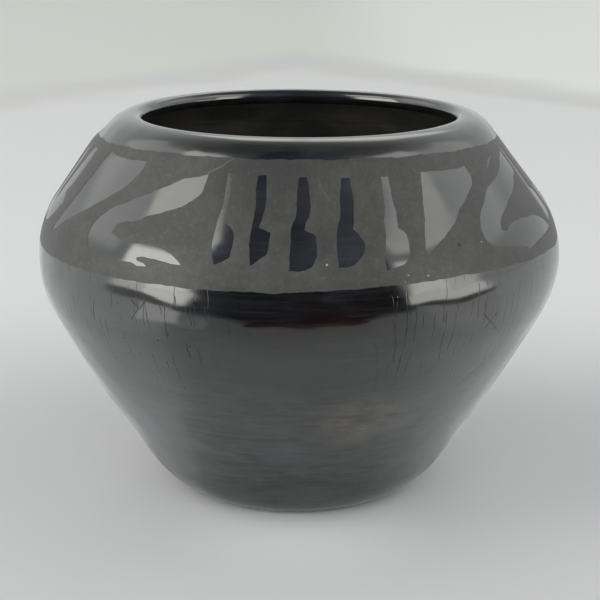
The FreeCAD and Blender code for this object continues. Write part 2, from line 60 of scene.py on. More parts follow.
heel_c = np.array([FOOT, HEEL])
turn_c = heel_c + unit(HEEL_END) * (HEEL - TURN)
wall_c = turn_c + unit(TURN_END) * (TURN - WALL)
shoulder_c = wall_c + unit(WALL_END) * (WALL - SHOULDER)
run_start = shoulder_c + unit(SHOULDER_END) * SHOULDER
run_end = run_start + unit(SHOULDER_END + 90) * RUN
lip_out_c = run_end - unit(SHOULDER_END) * LIP_OUT
lip_in_c = lip_out_c + np.array([0, LIP_OUT - LIP_IN])
roll_end = lip_in_c + unit(ROLL) * LIP_IN
inward = unit(SHOULDER_END)
THROAT = (float(np.dot(run_start - roll_end, inward)) - THICK) / (
    1 + math.cos(math.radians(ROLL - SHOULDER_END)))
throat_c = roll_end + unit(ROLL) * THROAT
corner_z = FLOOR + CORNER
gap = WALL - THICK - CORNER
corner_c = np.array(
    [wall_c[0] + math.sqrt(gap ** 2 - (corner_z - wall_c[1]) ** 2), corner_z])
corner_angle = math.degrees(math.atan2(corner_z - wall_c[1],
                                       corner_c[0] - wall_c[0]))


def arc(c, r, a, b, step):
    n = max(2, int(math.ceil(abs(math.radians(b - a)) * r / step)) + 1)
    t = np.radians(np.linspace(a, b, n))
    return np.stack([c[0] + r * np.cos(t), c[1] + r * np.sin(t)], 1)


def line(a, b, step):
    n = max(2, int(math.ceil(np.linalg.norm(np.subtract(b, a)) / step)) + 1)
    return np.linspace(a, b, n)


def chain(*parts):
    out = [parts[0]]
    for p in parts[1:]:
        out.append(p[1:])
    return np.concatenate(out)


def outer_chain(off, step, lip_step):
    """The skin from the slip's lower edge over the lip, moved in by off."""
    return chain(
        arc(turn_c, TURN - off, SLIP_START, TURN_END, step),
        arc(wall_c, WALL - off, TURN_END, WALL_END, step),
        arc(shoulder_c, SHOULDER - off, WALL_END, SHOULDER_END, step),
        line(run_start - inward * off, run_end - inward * off, step),
        arc(lip_out_c, LIP_OUT - off, SHOULDER_END, 90, lip_step),
        arc(lip_in_c, LIP_IN - off, 90, ROLL, lip_step),
    )


FINE = outer_chain(0.0, 0.1, 0.05)
FINE_S = np.concatenate([[0], np.cumsum(np.linalg.norm(
    np.diff(FINE, axis=0), axis=1))])
tangent = np.gradient(FINE, FINE_S, axis=0)
tangent /= np.linalg.norm(tangent, axis=1)[:, None]
FINE_N = np.stack([tangent[:, 1], -tangent[:, 0]], 1)
TOP = int(np.argmax(FINE[:, 1]))


def s_at(z):
    """Distance along the skin at a height, outside."""
    return np.interp(z, FINE[:TOP, 1], FINE_S[:TOP])


def skin(s, off=0.0):
    r = np.interp(s, FINE_S, FINE[:, 0])
    z = np.interp(s, FINE_S, FINE[:, 1])
    nr = np.interp(s, FINE_S, FINE_N[:, 0])
    nz = np.interp(s, FINE_S, FINE_N[:, 1])
    return r + off * nr, z + off * nz


# ----------------------------------------------------- the hand-made form
def smooth(x, a, b):
    t = np.clip((x - a) / (b - a), 0, 1)
    return t * t * (3 - 2 * t)


BROAD = [(2, 0.075, 0.9, 0.008), (3, 0.06, 2.3, -0.013), (4, 0.035, 4.0, 0.02),
         (5, 0.03, 1.2, -0.03), (7, 0.018, 5.1, 0.041), (9, 0.014, 0.3, 0.07)]
RIPPLE = [(int(k), float(ks), float(ph)) for k, ks, ph in zip(
    RNG.integers(11, 38, 22), RNG.uniform(-0.42, 0.42, 22),
    RNG.uniform(0, TAU, 22))]
SIDE_Z = np.array([0, 2, 37.5, 72.5, 100, 112])
SIDE_X = np.array([-0.77, -0.77, -0.54, -0.06, -0.74, -0.88])


def place(r, z, phi):
    """A turned point moved to where the potter's hand left it."""
    r, z, phi = np.broadcast_arrays(r, z, phi)
    w = -0.10 + 0.0 * z
    for k, a, p, q in BROAD:
        w = w + a * np.cos(k * phi + p + q * z)
    ripple = 0.0
    for k, ks, p in RIPPLE:
        ripple = ripple + np.cos(k * phi + ks * z + p)
    w = w + 0.0065 * ripple
    turn_ = np.angle(np.exp(1j * (phi + math.pi / 2)))
    w = w - 1.5 * np.exp(-(turn_ / 0.75) ** 2) * smooth(z, 101, 107) * (
        1 - smooth(r, 54.5, 60.0))
    w = w * smooth(r, 4, 40) * smooth(z, -8, 14)
    x = np.interp(z, SIDE_Z, SIDE_X) + (r + w) * np.sin(phi)
    y = -(r + w) * np.cos(phi)
    lift = smooth(z, 82, 111)
    drop = -0.0045 * (x + 62) + 0.07 * (np.cos(3 * phi + 0.7) - 1)
    zz = z + lift * np.minimum(drop, 0)
    return np.stack([x, y, zz], -1) / 1000


# ------------------------------------------------------------------ meshes
def make_object(name, verts, faces, wraps=None, sharp=38):
    mesh = bpy.data.meshes.new(name)
    mesh.from_pydata(verts.tolist(), [], faces)
    mesh.update()
    mesh.validate(verbose=False)
    if wraps is not None:
        layer = mesh.attributes.new("wrap", "FLOAT_VECTOR", "POINT")
        layer.data.foreach_set("vector", wraps.astype(np.float32).ravel())
    mesh.polygons.foreach_set("use_smooth", [True] * len(mesh.polygons))
    mesh.set_sharp_from_angle(angle=math.radians(sharp))
    obj = bpy.data.objects.new(name, mesh)
    bpy.context.scene.collection.objects.link(obj)
    return obj


def wrap_of(phi, s):
    phi, s = np.broadcast_arrays(phi, s)
    return np.stack([0.065 * np.sin(phi), -0.065 * np.cos(phi), s / 1000], -1)


def turned(name, loop, s_loop, count, shift=None, sharp=38):
    """A closed section turned about the axis; loop runs anticlockwise."""
    phi = np.arange(count) / count * TAU
    m = len(loop)
    r, z = loop[:, 0][:, None], loop[:, 1][:, None]
    if shift is not None:
        dr, dz = shift(loop, phi)
        r, z = r + dr, z + dz
    p = place(r, z, phi[None, :])
    w = wrap_of(phi[None, :], np.asarray(s_loop)[:, None])
    on_axis = loop[:, 0] < 1e-6
    index = -np.ones((m, count), int)
    verts, wraps, n = [], [], 0
    for i in range(m):
        if on_axis[i]:
            verts.append(p[i].mean(0)[None]); wraps.append(w[i].mean(0)[None])
            index[i] = n
            n += 1
        else:
            verts.append(p[i]); wraps.append(w[i])
            index[i] = n + np.arange(count)
            n += count
    faces = []
    for i in range(m):
        j = (i + 1) % m
        if on_axis[i] and on_axis[j]:
            continue
        a, b = index[i], index[j]
        a2, b2 = np.roll(a, -1), np.roll(b, -1)
        if on_axis[i]:
            faces += np.stack([a, b2, b], 1).tolist()
        elif on_axis[j]:
            faces += np.stack([a, a2, b], 1).tolist()
        else:
            faces += np.stack([a, a2, b2, b], 1).tolist()
    return make_object(name, np.concatenate(verts), faces,
                       np.concatenate(wraps), sharp)


# burnished slip: the whole outer skin, over the lip
out = outer_chain(0.0, 0.98, 0.42)
back = outer_chain(SLIP, 4.0, 0.6)[::-1]
loop = np.concatenate([out, back])


def nearest_s(points):
    k = np.array([np.argmin(((FINE - p) ** 2).sum(1)) for p in points])
    return FINE_S[k]


slip = turned("burnished_slip_skin", loop, nearest_s(loop), 420)

# ------------------------------------------------------------ clay coils
inner = chain(
    line((0, FLOOR), (corner_c[0], FLOOR), 1.6),
    arc(corner_c, CORNER, -90, corner_angle, 0.9),
    arc(wall_c, WALL - THICK, corner_angle, WALL_END, 0.9),
    arc(shoulder_c, SHOULDER - THICK, WALL_END, SHOULDER_END, 0.9),
    line(shoulder_c + inward * (SHOULDER - THICK),
         throat_c + inward * THROAT * 1.0, 0.9),
    arc(throat_c, THROAT, SHOULDER_END, ROLL - 180, 0.9),
)
clay_out = outer_chain(SLIP, 1.2, 0.5)
foot_line = chain(
    line((0, 0), (FOOT, 0), 1.6),
    arc(heel_c, HEEL, -90, HEEL_END, 0.6),
    arc(turn_c, TURN, HEEL_END, SLIP_START, 0.6),
)
JOINTS = [(9.0, 0.0, 0.0), (18.5, 48.2, 10.0), (29.0, 55.1, 16.0),
          (39.5, 61.6, 18.0), (50.5, 67.9, 18.0), (62.5, 73.8, 20.0),
          (79.5, 73.8, 35.0), (89.9, 68.3, 45.0), (98.3, 62.3, 50.0),
          (105.4, 57.2, 50.0)]


def above(points, joint):
    h, r, a = joint
    return points[:, 1] - h + (r - points[:, 0]) * math.tan(math.radians(a))


def crossing(points, joint):
    """Where a polyline goes up through a joint's cone."""
    g = above(points, joint)
    i = int(np.nonzero((g[:-1] < 0) & (g[1:] >= 0))[0][0])
    t = -g[i] / (g[i + 1] - g[i])
    return i, points[i] + t * (points[i + 1] - points[i])


def stretch(points, low, high):
    """The part of a polyline between two joints."""
    i0, p0 = (-1, points[0]) if low is None else crossing(points, low)
    i1, p1 = (len(points) - 1, points[-1]) if high is None else crossing(
        points, high)
    mid = points[i0 + 1:i1 + 1]
    if low is not None:
        mid = np.concatenate([p0[None], mid])
    if high is not None:
        mid = np.concatenate([mid, p1[None]])
    return mid


SCRAPE = [(int(k), float(ks), float(ph), float(am)) for k, ks, ph, am in zip(
    RNG.integers(3, 26, 16), RNG.uniform(-0.5, 0.5, 16),
    RNG.uniform(0, TAU, 16), RNG.uniform(0.02, 0.05, 16))]


def inner_shift(points, phi):
    """Scraping marks and faint joint grooves on the inside."""
    d = np.array([np.min(((inner - p) ** 2).sum(1)) for p in points])
    on = (d < 0.02).astype(float) * smooth(points[:, 0], 4, 30)
    on = on * (1 - smooth(points[:, 1], 101, 106))
    z = points[:, 1][:, None]
    amount = 0.0
    for k, ks, p, a in SCRAPE:
        amount = amount + a * np.cos(k * phi[None, :] + ks * z + p)
    for h, r, a in JOINTS[1:]:
        hz = crossing(inner, (h, r, a))[1][1]
        amount = amount + 0.16 * np.exp(-((z - hz) / 0.9) ** 2) * (
            0.6 + 0.4 * np.cos(5 * phi[None, :] + h))
    amount = amount * on[:, None]
    low = smooth(points[:, 1], 8, 20)[:, None]
    return amount * low, -0.6 * amount * (1 - low)


NAMES = ["base_slab", "lower_wall_coil_1", "lower_wall_coil_2",
         "lower_wall_coil_3", "lower_wall_coil_4", "lower_wall_coil_5",
         "shoulder_coil", "upper_wall_coil_1", "upper_wall_coil_2",
         "upper_wall_coil_3", "rim_coil"]
clay_pieces = {}
for i, name in enumerate(NAMES):
    low = JOINTS[i - 1] if i > 0 else None
    high = JOINTS[i] if i < len(JOINTS) else None
    outside = stretch(clay_out, low, high)
    inside = stretch(inner, low, high)
    if low is None:
        outside = np.concatenate([foot_line, outside])
    across = line(outside[-1], inside[-1], 1.8)[1:-1]
    parts = [outside, across, inside[::-1]]
    if low is not None:
        parts.append(line(inside[0], outside[0], 1.8)[1:-1])
    section = np.concatenate(parts)
    keep = np.linalg.norm(section - np.roll(section, 1, 0), axis=1) > 1e-5
    section = section[keep]
    s_loop = section[:, 1] * 1.15
    clay_pieces[name] = turned(name + "_clay", section, s_loop, 240,
                               inner_shift)

# -------------------------------------------------------- dull slip band
FIGURES = {
    "scroll": [(-22.9, 103.1), (-25.8, 102.2), (-29.2, 101.6), (-31.6, 100.4), (-34.6, 98.9), (-37.5, 97.5), (-40.9, 95.9), (-43.9, 94.2), (-47.3, 92.6), (-49.2, 91.0), (-50.7, 89.2), (-51.5, 87.1), (-51.6, 85.2), (-50.9, 83.5), (-49.9, 82.0), (-47.3, 81.0), (-43.1, 80.3), (-39.8, 80.7), (-36.3, 80.7), (-35.4, 80.3), (-32.7, 80.4), (-33.2, 80.9), (-35.2, 81.6), (-35.4, 82.1), (-34.4, 82.5), (-31.9, 82.5), (-28.1, 82.0), (-24.6, 81.7), (-25.7, 83.0), (-27.6, 84.2), (-30.5, 85.4), (-33.9, 85.8), (-36.3, 85.7), (-39.0, 85.3), (-41.7, 86.0), (-44.3, 86.9), (-43.8, 88.9), (-41.6, 89.8), (-38.7, 90.5), (-36.2, 91.8), (-32.8, 93.1), (-28.4, 94.8), (-25.5, 96.7), (-23.7, 98.5), (-23.3, 100.7)],
    "club_1": [(-18.0, 103.9), (-16.7, 103.9), (-16.5, 97.2), (-16.6, 92.3), (-14.9, 91.3), (-14.2, 89.9), (-14.3, 84.7), (-16.0, 83.5), (-17.7, 82.7), (-18.4, 86.2), (-18.5, 90.3), (-18.0, 94.4), (-17.7, 97.2)],
    "club_2": [(-10.0, 103.6), (-8.0, 103.6), (-7.7, 100.4), (-7.7, 97.1), (-8.1, 94.3), (-8.9, 91.6), (-6.2, 90.6), (-6.8, 85.6), (-8.3, 84.4), (-10.1, 82.9), (-10.5, 86.3), (-10.5, 91.1), (-10.1, 94.3), (-10.1, 99.2), (-10.3, 100.8)],
    "club_3": [(0.2, 103.3), (2.1, 103.3), (2.5, 100.8), (2.2, 94.4), (1.6, 93.2), (0.9, 91.2), (3.4, 89.9), (3.1, 84.8), (2.1, 82.7), (0.4, 81.9), (-2.4, 81.8), (-2.1, 87.3), (-1.8, 91.6), (-0.7, 95.0), (-0.4, 100.0)],
    "club_4": [(10.6, 102.9), (12.8, 102.9), (12.8, 98.7), (12.1, 93.5), (11.4, 91.2), (12.8, 89.6), (13.4, 87.2), (12.7, 85.2), (11.0, 83.2), (9.4, 82.6), (7.4, 82.6), (7.5, 86.3), (7.9, 90.8), (8.9, 93.5), (9.7, 98.8)],
    "club_5": [(21.0, 102.9), (23.0, 102.9), (22.4, 97.5), (22.3, 94.3), (21.8, 90.7), (23.0, 89.6), (23.2, 86.7), (22.6, 84.0), (21.3, 82.5), (17.3, 81.2), (17.2, 84.0), (18.2, 88.0), (19.0, 92.8), (19.8, 95.5), (20.2, 97.5)],
    "wedge": [(32.6, 103.0), (47.4, 102.6), (48.7, 102.8), (49.2, 100.1), (48.2, 98.5), (45.8, 96.9), (42.4, 94.8), (39.5, 93.1), (36.2, 90.2), (32.7, 87.9), (29.3, 85.6), (27.0, 83.8), (26.4, 84.8), (26.9, 87.1), (28.5, 91.5), (30.1, 96.3), (31.6, 100.3)],
    "club_far": [(-74.6, 103.9), (-70.8, 104.0), (-71.5, 97.5), (-72.6, 94.3), (-74.1, 91.9), (-70.9, 89.5), (-72.6, 87.0), (-75.0, 84.5), (-77.7, 83.3), (-81.0, 83.1), (-80.6, 86.5), (-79.4, 91.7), (-77.3, 97.3), (-75.5, 101.4)],
    "wedge_left": [(-61.1, 104.6), (-56.2, 104.1), (-50.4, 104.0), (-42.9, 104.4), (-43.5, 102.0), (-44.7, 99.7), (-47.2, 97.0), (-50.6, 94.5), (-53.6, 92.5), (-58.6, 89.1), (-64.6, 85.2), (-67.8, 82.9), (-69.2, 82.2), (-68.3, 83.9), (-67.0, 86.8), (-65.3, 92.1), (-63.6, 96.9), (-62.0, 101.7)],
    "scroll_right": [(74.0, 103.3), (70.3, 102.2), (65.7, 100.3), (61.9, 98.9), (57.2, 97.6), (52.4, 96.3), (50.0, 94.7), (47.6, 93.0), (45.2, 91.2), (43.5, 89.1), (42.8, 86.6), (43.1, 84.7), (44.4, 83.1), (47.2, 82.5), (50.9, 81.8), (54.1, 81.3), (55.9, 80.7), (57.2, 79.9), (59.9, 80.2), (64.4, 81.0), (68.8, 81.5), (73.6, 82.0), (71.9, 83.8), (69.6, 85.5), (66.7, 86.7), (62.7, 87.1), (57.7, 87.5), (54.5, 87.2), (52.0, 86.4), (50.6, 85.8), (49.5, 86.2), (49.8, 87.6), (51.3, 89.0), (54.6, 90.5), (57.8, 91.9), (62.1, 93.4), (64.9, 94.2), (67.2, 95.2), (70.0, 96.6), (72.3, 97.2), (73.7, 98.0), (74.0, 100.5)],
    "dash_right": [(57.7, 100.7), (59.8, 102.0), (62.1, 102.9), (64.1, 103.0), (62.9, 102.5), (60.8, 101.6)],
}
UNIT = 65.0 * math.pi / 180          # mm of the flat drawing per degree


TURNED = {"scroll_right": 0.8, "dash_right": 0.8, "wedge": 0.75,
          "wedge_left": 0.4, "club_far": 0.4}


def placed(name, centre, squeeze=1.0, vary=0.0):
    """One figure, turned to another place and slightly redrawn."""
    pts = np.array(FIGURES[name], float)
    pts[:, 0] += TURNED.get(name, 0.6)
    pts[:, 1] -= 0.15 if name.startswith("club") else 0.0
    phi = centre + pts[:, 0] * squeeze
    z = pts[:, 1].copy()
    if vary:
        phi = phi + RNG.normal(0, 0.28 * vary) + RNG.normal(
            0, 0.12 * vary, len(phi))
        z = z + RNG.normal(0, 0.15 * vary) + RNG.normal(
            0, 0.10 * vary, len(z))
        mid = z.mean()
        z = mid + (z - mid) * (1 + RNG.normal(0, 0.015 * vary))
    return np.stack([phi * UNIT, s_at(z)], 1)


CLUBS = ["club_1", "club_2", "club_3", "club_4", "club_5"]
outlines = [placed(n, 0.0) for n in ["scroll"] + CLUBS + ["wedge"]]
outlines += [placed("scroll_right", 0.0), placed("dash_right", 0.0)]
outlines += [placed(n, 93.6, 1.0, 1.0) for n in CLUBS]
outlines += [placed("wedge", 91.5, 1.0, 1.0)]
outlines += [placed("wedge_left", 0.0), placed("club_far", 0.0)]
outlines += [placed(n, -93.5, 1.0, 1.0) for n in CLUBS[:4]]
outlines += [placed("scroll", -92.0, 0.97, 1.0)]
outlines += [placed(n, 180.0, 0.9, 1.0) for n in CLUBS[2:] + ["wedge"]]
outlines += [placed(n, 180.0, 0.9, 1.0) for n in ["scroll"] + CLUBS[:2]]
SEAM = 176.7
for o in outlines:
    if o[:, 0].min() > SEAM * UNIT:
        o[:, 0] -= 360 * UNIT


def soften(points, step=0.55, corner=42.0):
    """Rounds a drawn outline between its real corners, as a brush does."""
    n = len(points)
    seg = np.roll(points, -1, 0) - points
    length = np.linalg.norm(seg, axis=1)
    direction = seg / length[:, None]
    turn = np.degrees(np.arccos(np.clip(
        (direction * np.roll(direction, 1, 0)).sum(1), -1, 1)))
    out = []
    for i in range(n):
        j = (i + 1) % n
        p, q, h = points[i], points[j], length[i]
        if turn[i] < corner:
            t0 = direction[i] + direction[i - 1]
            t0 = t0 / np.linalg.norm(t0) * h
        else:
            t0 = seg[i]
        if turn[j] < corner:
            t1 = direction[i] + direction[j]
            t1 = t1 / np.linalg.norm(t1) * h
        else:
            t1 = seg[i]
        m = max(1, int(round(h / step)))
        for k in range(m):
            t = k / m
            out.append((2 * t ** 3 - 3 * t * t + 1) * p
                       + (t ** 3 - 2 * t * t + t) * t0
                       + (-2 * t ** 3 + 3 * t * t) * q
                       + (t ** 3 - t * t) * t1)
    out = np.array(out)
    tang = np.roll(out, -1, 0) - np.roll(out, 1, 0)
    tang /= np.maximum(np.linalg.norm(tang, axis=1), 1e-9)[:, None]
    run = np.arange(len(out)) * step
    wave = 0.0
    for wl, a in ((7.0, 0.06), (3.1, 0.045), (1.7, 0.025)):
        wave = wave + a * np.sin(run / wl * TAU + RNG.uniform(0, TAU))
    return out + wave[:, None] * np.stack([tang[:, 1], -tang[:, 0]], 1)


outlines = [soften(o) for o in outlines]

LEFT, RIGHT = (SEAM - 360) * UNIT, SEAM * UNIT


def edge(u, table, wave):
    phi = u / UNIT
    knots = np.array(table, float)
    base = np.interp(phi, knots[:, 0], knots[:, 1])
    wob = 0.0
    for k, a, p in wave:
        wob = wob + a * np.sin(k * np.radians(phi) + p)
    return s_at(base + wob)


LOW_Z = [(-184, 76.4), (-150, 76.9), (-90, 76.2), (-60, 76.1), (-36.9, 76.3),
         (-16.2, 76.3), (-0.7, 76.45), (11.7, 77.2), (19.9, 77.2),
         (28.1, 77.6), (40.3, 77.6), (60, 77.0), (90, 76.3), (130, 76.8),
         (177, 76.4)]
HIGH_Z = [(-184, 106.4), (-130, 106.2), (-90, 105.5), (-60, 106.3),
          (-41.6, 106.9), (-20.9, 107.1), (-0.2, 107.2), (20.6, 107.1),
          (41.2, 106.8), (60, 106.3), (90, 105.5), (140, 106.0), (177, 106.4)]
LOW_WAVE = [(23, 0.10, 0.4), (41, 0.08, 2.0), (67, 0.06, 4.4), (113, 0.05, 1),
            (171, 0.03, 3)]
HIGH_WAVE = [(19, 0.09, 1.4), (37, 0.07, 5.0), (73, 0.06, 0.4), (121, 0.04, 2)]
uu = np.linspace(LEFT, RIGHT, 620)
low_line = np.stack([uu, edge(uu, LOW_Z, LOW_WAVE)], 1)
high_line = np.stack([uu, edge(uu, HIGH_Z, HIGH_WAVE)], 1)
low_line[-1, 1] = low_line[0, 1]
high_line[-1, 1] = high_line[0, 1]
seam_v = np.linspace(low_line[0, 1], high_line[0, 1], 34)[1:-1]
frame_line = np.concatenate([
    low_line,
    np.stack([np.full(32, RIGHT), seam_v], 1),
    high_line[::-1],
    np.stack([np.full(32, LEFT), seam_v[::-1]], 1),
])


def inside(points, polygon):
    x, y = points[:, 0], points[:, 1]
    hit = np.zeros(len(points), bool)
    q = np.roll(polygon, -1, 0)
    lo = polygon.min(0); hi = polygon.max(0)
    near = np.nonzero((x > lo[0]) & (x < hi[0]) & (y > lo[1]) & (y < hi[1]))[0]
    if not len(near):
        return hit
    x, y = x[near][:, None], y[near][:, None]
    px, py, qx, qy = polygon[:, 0], polygon[:, 1], q[:, 0], q[:, 1]
    crosses = ((py > y) != (qy > y)) & (
        x < (qx - px) * (y - py) / np.where(qy == py, 1e-12, qy - py) + px)
    hit[near] = crosses.sum(1) % 2 == 1
    return hit


points = [frame_line]
edges = [(k, (k + 1) % len(frame_line)) for k in range(len(frame_line))]
base = len(frame_line)
for o in outlines:
    points.append(o)
    edges += [(base + k, base + (k + 1) % len(o)) for k in range(len(o))]
    base += len(o)
border = np.concatenate(points)
gu = np.arange(LEFT + 0.7, RIGHT - 0.5, 1.15)
gv = np.arange(low_line[:, 1].min(), high_line[:, 1].max(), 1.05)
grid = np.stack(np.meshgrid(gu, gv), -1).reshape(-1, 2)
grid[:, 0] += np.where(
    (np.round((grid[:, 1] - gv[0]) / 1.05).astype(int) % 2) == 1, 0.28, -0.28)
ok = inside(grid, frame_line)
for o in outlines:
    ok &= ~inside(grid, o)
grid = grid[ok]
cell = {}
for k, p in enumerate(border):
    cell.setdefault((int(p[0] // 1), int(p[1] // 1)), []).append(k)
keep = []
for p in grid:
    cx, cy = int(p[0] // 1), int(p[1] // 1)
    close = [k for a in (-1, 0, 1) for b in (-1, 0, 1)
             for k in cell.get((cx + a, cy + b), ())]
    if not close or np.min(
            ((border[close] - p) ** 2).sum(1)) > 0.55 ** 2:
        keep.append(p)
flat = np.concatenate([border, np.array(keep)])
res = delaunay_2d_cdt([Vector(p) for p in flat], edges, [], 0, 1e-5)
flat = np.array([tuple(v) for v in res[0]])
tris = np.array([f for f in res[2]])
mid = flat[tris].mean(1)
use = inside(mid, frame_line)
for o in outlines:
    use &= ~inside(mid, o)
tris = tris[use]
used = np.unique(tris)
renum = -np.ones(len(flat), int)
renum[used] = np.arange(len(used))
flat, tris = flat[used], renum[tris]
# anticlockwise seen from outside
a, b, c = flat[tris[:, 0]], flat[tris[:, 1]], flat[tris[:, 2]]
flip = ((b - a)[:, 0] * (c - a)[:, 1] - (b - a)[:, 1] * (c - a)[:, 0]) < 0
tris[flip] = tris[flip][:, ::-1]

# weld the seam
right = np.nonzero(np.abs(flat[:, 0] - RIGHT) < 1e-6)[0]
left = np.nonzero(np.abs(flat[:, 0] - LEFT) < 1e-6)[0]
weld = np.arange(len(flat))
for k in right:
    weld[k] = left[np.argmin(np.abs(flat[left, 1] - flat[k, 1]))]
tris = weld[tris]
used = np.unique(tris)
renum = -np.ones(len(flat), int)
renum[used] = np.arange(len(used))
flat, tris = flat[used], renum[tris]
half = {}
for t in tris.tolist():
    for k in range(3):
        half[(t[k], t[(k + 1) % 3])] = True
rim = [(p, q) for (p, q) in half if (q, p) not in half]
rim_set = np.unique(np.array(rim))
on_rim = np.zeros(len(flat), bool)
on_rim[rim_set] = True
phi = flat[:, 0] / UNIT * math.pi / 180
s = flat[:, 1]
lift = np.where(on_rim, 0.035, 0.085)
r, z = skin(s, lift)
upper = place(r, z, phi)
r, z = skin(s, -0.09)
lower = place(r, z, phi)
count = len(flat)
faces = tris.tolist() + (tris[:, ::-1] + count).tolist()
faces += [[q, p, p + count, q + count] for p, q in rim]
wraps = wrap_of(phi, s)
band = make_object("matte_slip_band_skin", np.concatenate([upper, lower]),
                   faces, np.concatenate([wraps, wraps]), 40)


# --------------------------------------------------------------- materials
class Nodes:
    """A few short calls for building a node tree."""

    def __init__(self, tree):
        self.tree = tree
        tree.nodes.clear()

    def add(self, kind, **props):
        node = self.tree.nodes.new("ShaderNode" + kind)
        for k, v in props.items():
            setattr(node, k, v)
        return node

    def put(self, socket, value):
        if hasattr(value, "is_output"):
            self.tree.links.new(value, socket)
        else:
            socket.default_value = value

    def math(self, op, a, b=0.0, c=None, clamp=False):
        n = self.add("Math", operation=op, use_clamp=clamp)
        self.put(n.inputs[0], a)
        self.put(n.inputs[1], b)
        if c is not None:
            self.put(n.inputs[2], c)
        return n.outputs[0]

    def scaled(self, vector, scale, offset=(0, 0, 0)):
        n = self.add("Mapping")
        self.put(n.inputs["Vector"], vector)
        n.inputs["Scale"].default_value = scale
        n.inputs["Location"].default_value = offset
        return n.outputs[0]

    def noise(self, vector, scale, detail=2.0, rough=0.5, distort=0.0):
        n = self.add("TexNoise")
        self.put(n.inputs["Vector"], vector)
        n.inputs["Scale"].default_value = scale
        n.inputs["Detail"].default_value = detail
        n.inputs["Roughness"].default_value = rough
        n.inputs["Distortion"].default_value = distort
        return n.outputs["Fac"]

    def cells(self, vector, scale, feature="F1", random=1.0):
        n = self.add("TexVoronoi", feature=feature)
        self.put(n.inputs["Vector"], vector)
        n.inputs["Scale"].default_value = scale
        n.inputs["Randomness"].default_value = random
        return n

    def remap(self, value, a, b, c=0.0, d=1.0, kind="SMOOTHSTEP"):
        n = self.add("MapRange", interpolation_type=kind)
        n.clamp = True
        self.put(n.inputs[0], value)
        for i, v in enumerate((a, b, c, d), start=1):
            self.put(n.inputs[i], v)
        return n.outputs[0]

    def mix(self, fac, a, b):
        n = self.add("Mix", data_type="RGBA")
        self.put(n.inputs[0], fac)
        self.put(n.inputs[6], a if hasattr(a, "is_output") else (*a, 1))
        self.put(n.inputs[7], b if hasattr(b, "is_output") else (*b, 1))
        return n.outputs[2]

    def near(self, vector, point, inner_r, outer_r, squash=(1, 1, 1)):
        """1 close to a point, 0 beyond outer_r (metres)."""
        sub = self.add("VectorMath", operation="SUBTRACT")
        self.put(sub.inputs[0], vector)
        sub.inputs[1].default_value = point
        mul = self.add("VectorMath", operation="MULTIPLY")
        self.put(mul.inputs[0], sub.outputs[0])
        mul.inputs[1].default_value = squash
        ln = self.add("VectorMath", operation="LENGTH")
        self.put(ln.inputs[0], mul.outputs[0])
        return self.remap(ln.outputs["Value"], inner_r, outer_r, 1.0, 0.0)


def new_material(name):
    m = bpy.data.materials.new(name)
    m.use_nodes = True
    return m, Nodes(m.node_tree)


def close_material(n, colour, roughness, height, ior, spec=0.5):
    bsdf = n.add("BsdfPrincipled")
    out = n.add("OutputMaterial")
    n.put(bsdf.inputs["Base Color"], colour)
    n.put(bsdf.inputs["Roughness"], roughness)
    bsdf.inputs["IOR"].default_value = ior
    n.put(bsdf.inputs["Specular IOR Level"], spec)
    bump = n.add("Bump")
    bump.inputs["Strength"].default_value = 1.0
    bump.inputs["Distance"].default_value = 0.001
    n.put(bump.inputs["Height"], height)
    n.put(bsdf.inputs["Normal"], bump.outputs[0])
    n.put(out.inputs["Surface"], bsdf.outputs[0])
    return bsdf


def wrap_node(n):
    a = n.add("Attribute", attribute_name="wrap", attribute_type="GEOMETRY")
    return a.outputs["Vector"]


def at(phi_deg, z_mm):
    """The wrap coordinate of a place on the skin."""
    p = math.radians(phi_deg)
    return (0.065 * math.sin(p), -0.065 * math.cos(p),
            float(s_at(z_mm)) / 1000)


def specks(n, vector, scale, size_, share):
    """Small round spots: a few cells of a Voronoi pattern."""
    v = n.cells(vector, scale)
    sep = n.add("SeparateColor")
    n.put(sep.inputs[0], v.outputs["Color"])
    chosen = n.math("LESS_THAN", sep.outputs[0], share)
    dot = n.remap(v.outputs["Distance"], size_, size_ * 0.5, 0.0, 1.0)
    return n.math("MULTIPLY", chosen, dot)


# burnished slip
mat, n = new_material("burnished_black_slip")
w = wrap_node(n)
cloud = n.noise(n.scaled(w, (22, 22, 34)), 1.0, 3.0, 0.6)
mist = n.noise(n.scaled(w, (34, 34, 105), (2, 8, 3)), 1.0, 5.0, 0.62, 0.3)
mottle = n.noise(n.scaled(w, (150, 150, 260), (1, 4, 9)), 1.0, 4.0, 0.65)
streak = n.noise(n.scaled(w, (26, 26, 640)), 1.0, 2.0, 0.55, 0.35)
streak_b = n.noise(n.scaled(w, (60, 60, 1500), (3, 1, 7)), 1.0, 2.0, 0.5)
upright = n.noise(n.scaled(w, (640, 640, 38), (6, 2, 0)), 1.0, 2.0, 0.6)
grain = n.noise(n.scaled(w, (1, 1, 1)), 1300, 3.0, 0.6)
split = n.add("SeparateXYZ")
n.put(split.inputs[0], w)
side_x, side_y, height_s = split.outputs
belly_zone = n.math("MULTIPLY", n.remap(height_s, 0.050, 0.074, 0, 1),
                    n.remap(height_s, 0.090, 0.096, 1, 0))
band_zone = n.remap(height_s, 0.088, 0.092, 0, 1)
arc_mm = n.math("MULTIPLY", n.math(
    "ARCTAN2", side_x, n.math("MULTIPLY", side_y, -1.0)), 0.065)
# drying cracks, upright, in patches to the left and right of the front
wander = n.noise(n.scaled(w, (260, 260, 210)), 1.0, 2.0)
bent = n.math("ADD", arc_mm, n.math("MULTIPLY", wander, 0.0015))
slant = n.math("ADD", bent, n.math("MULTIPLY", height_s, 0.11))


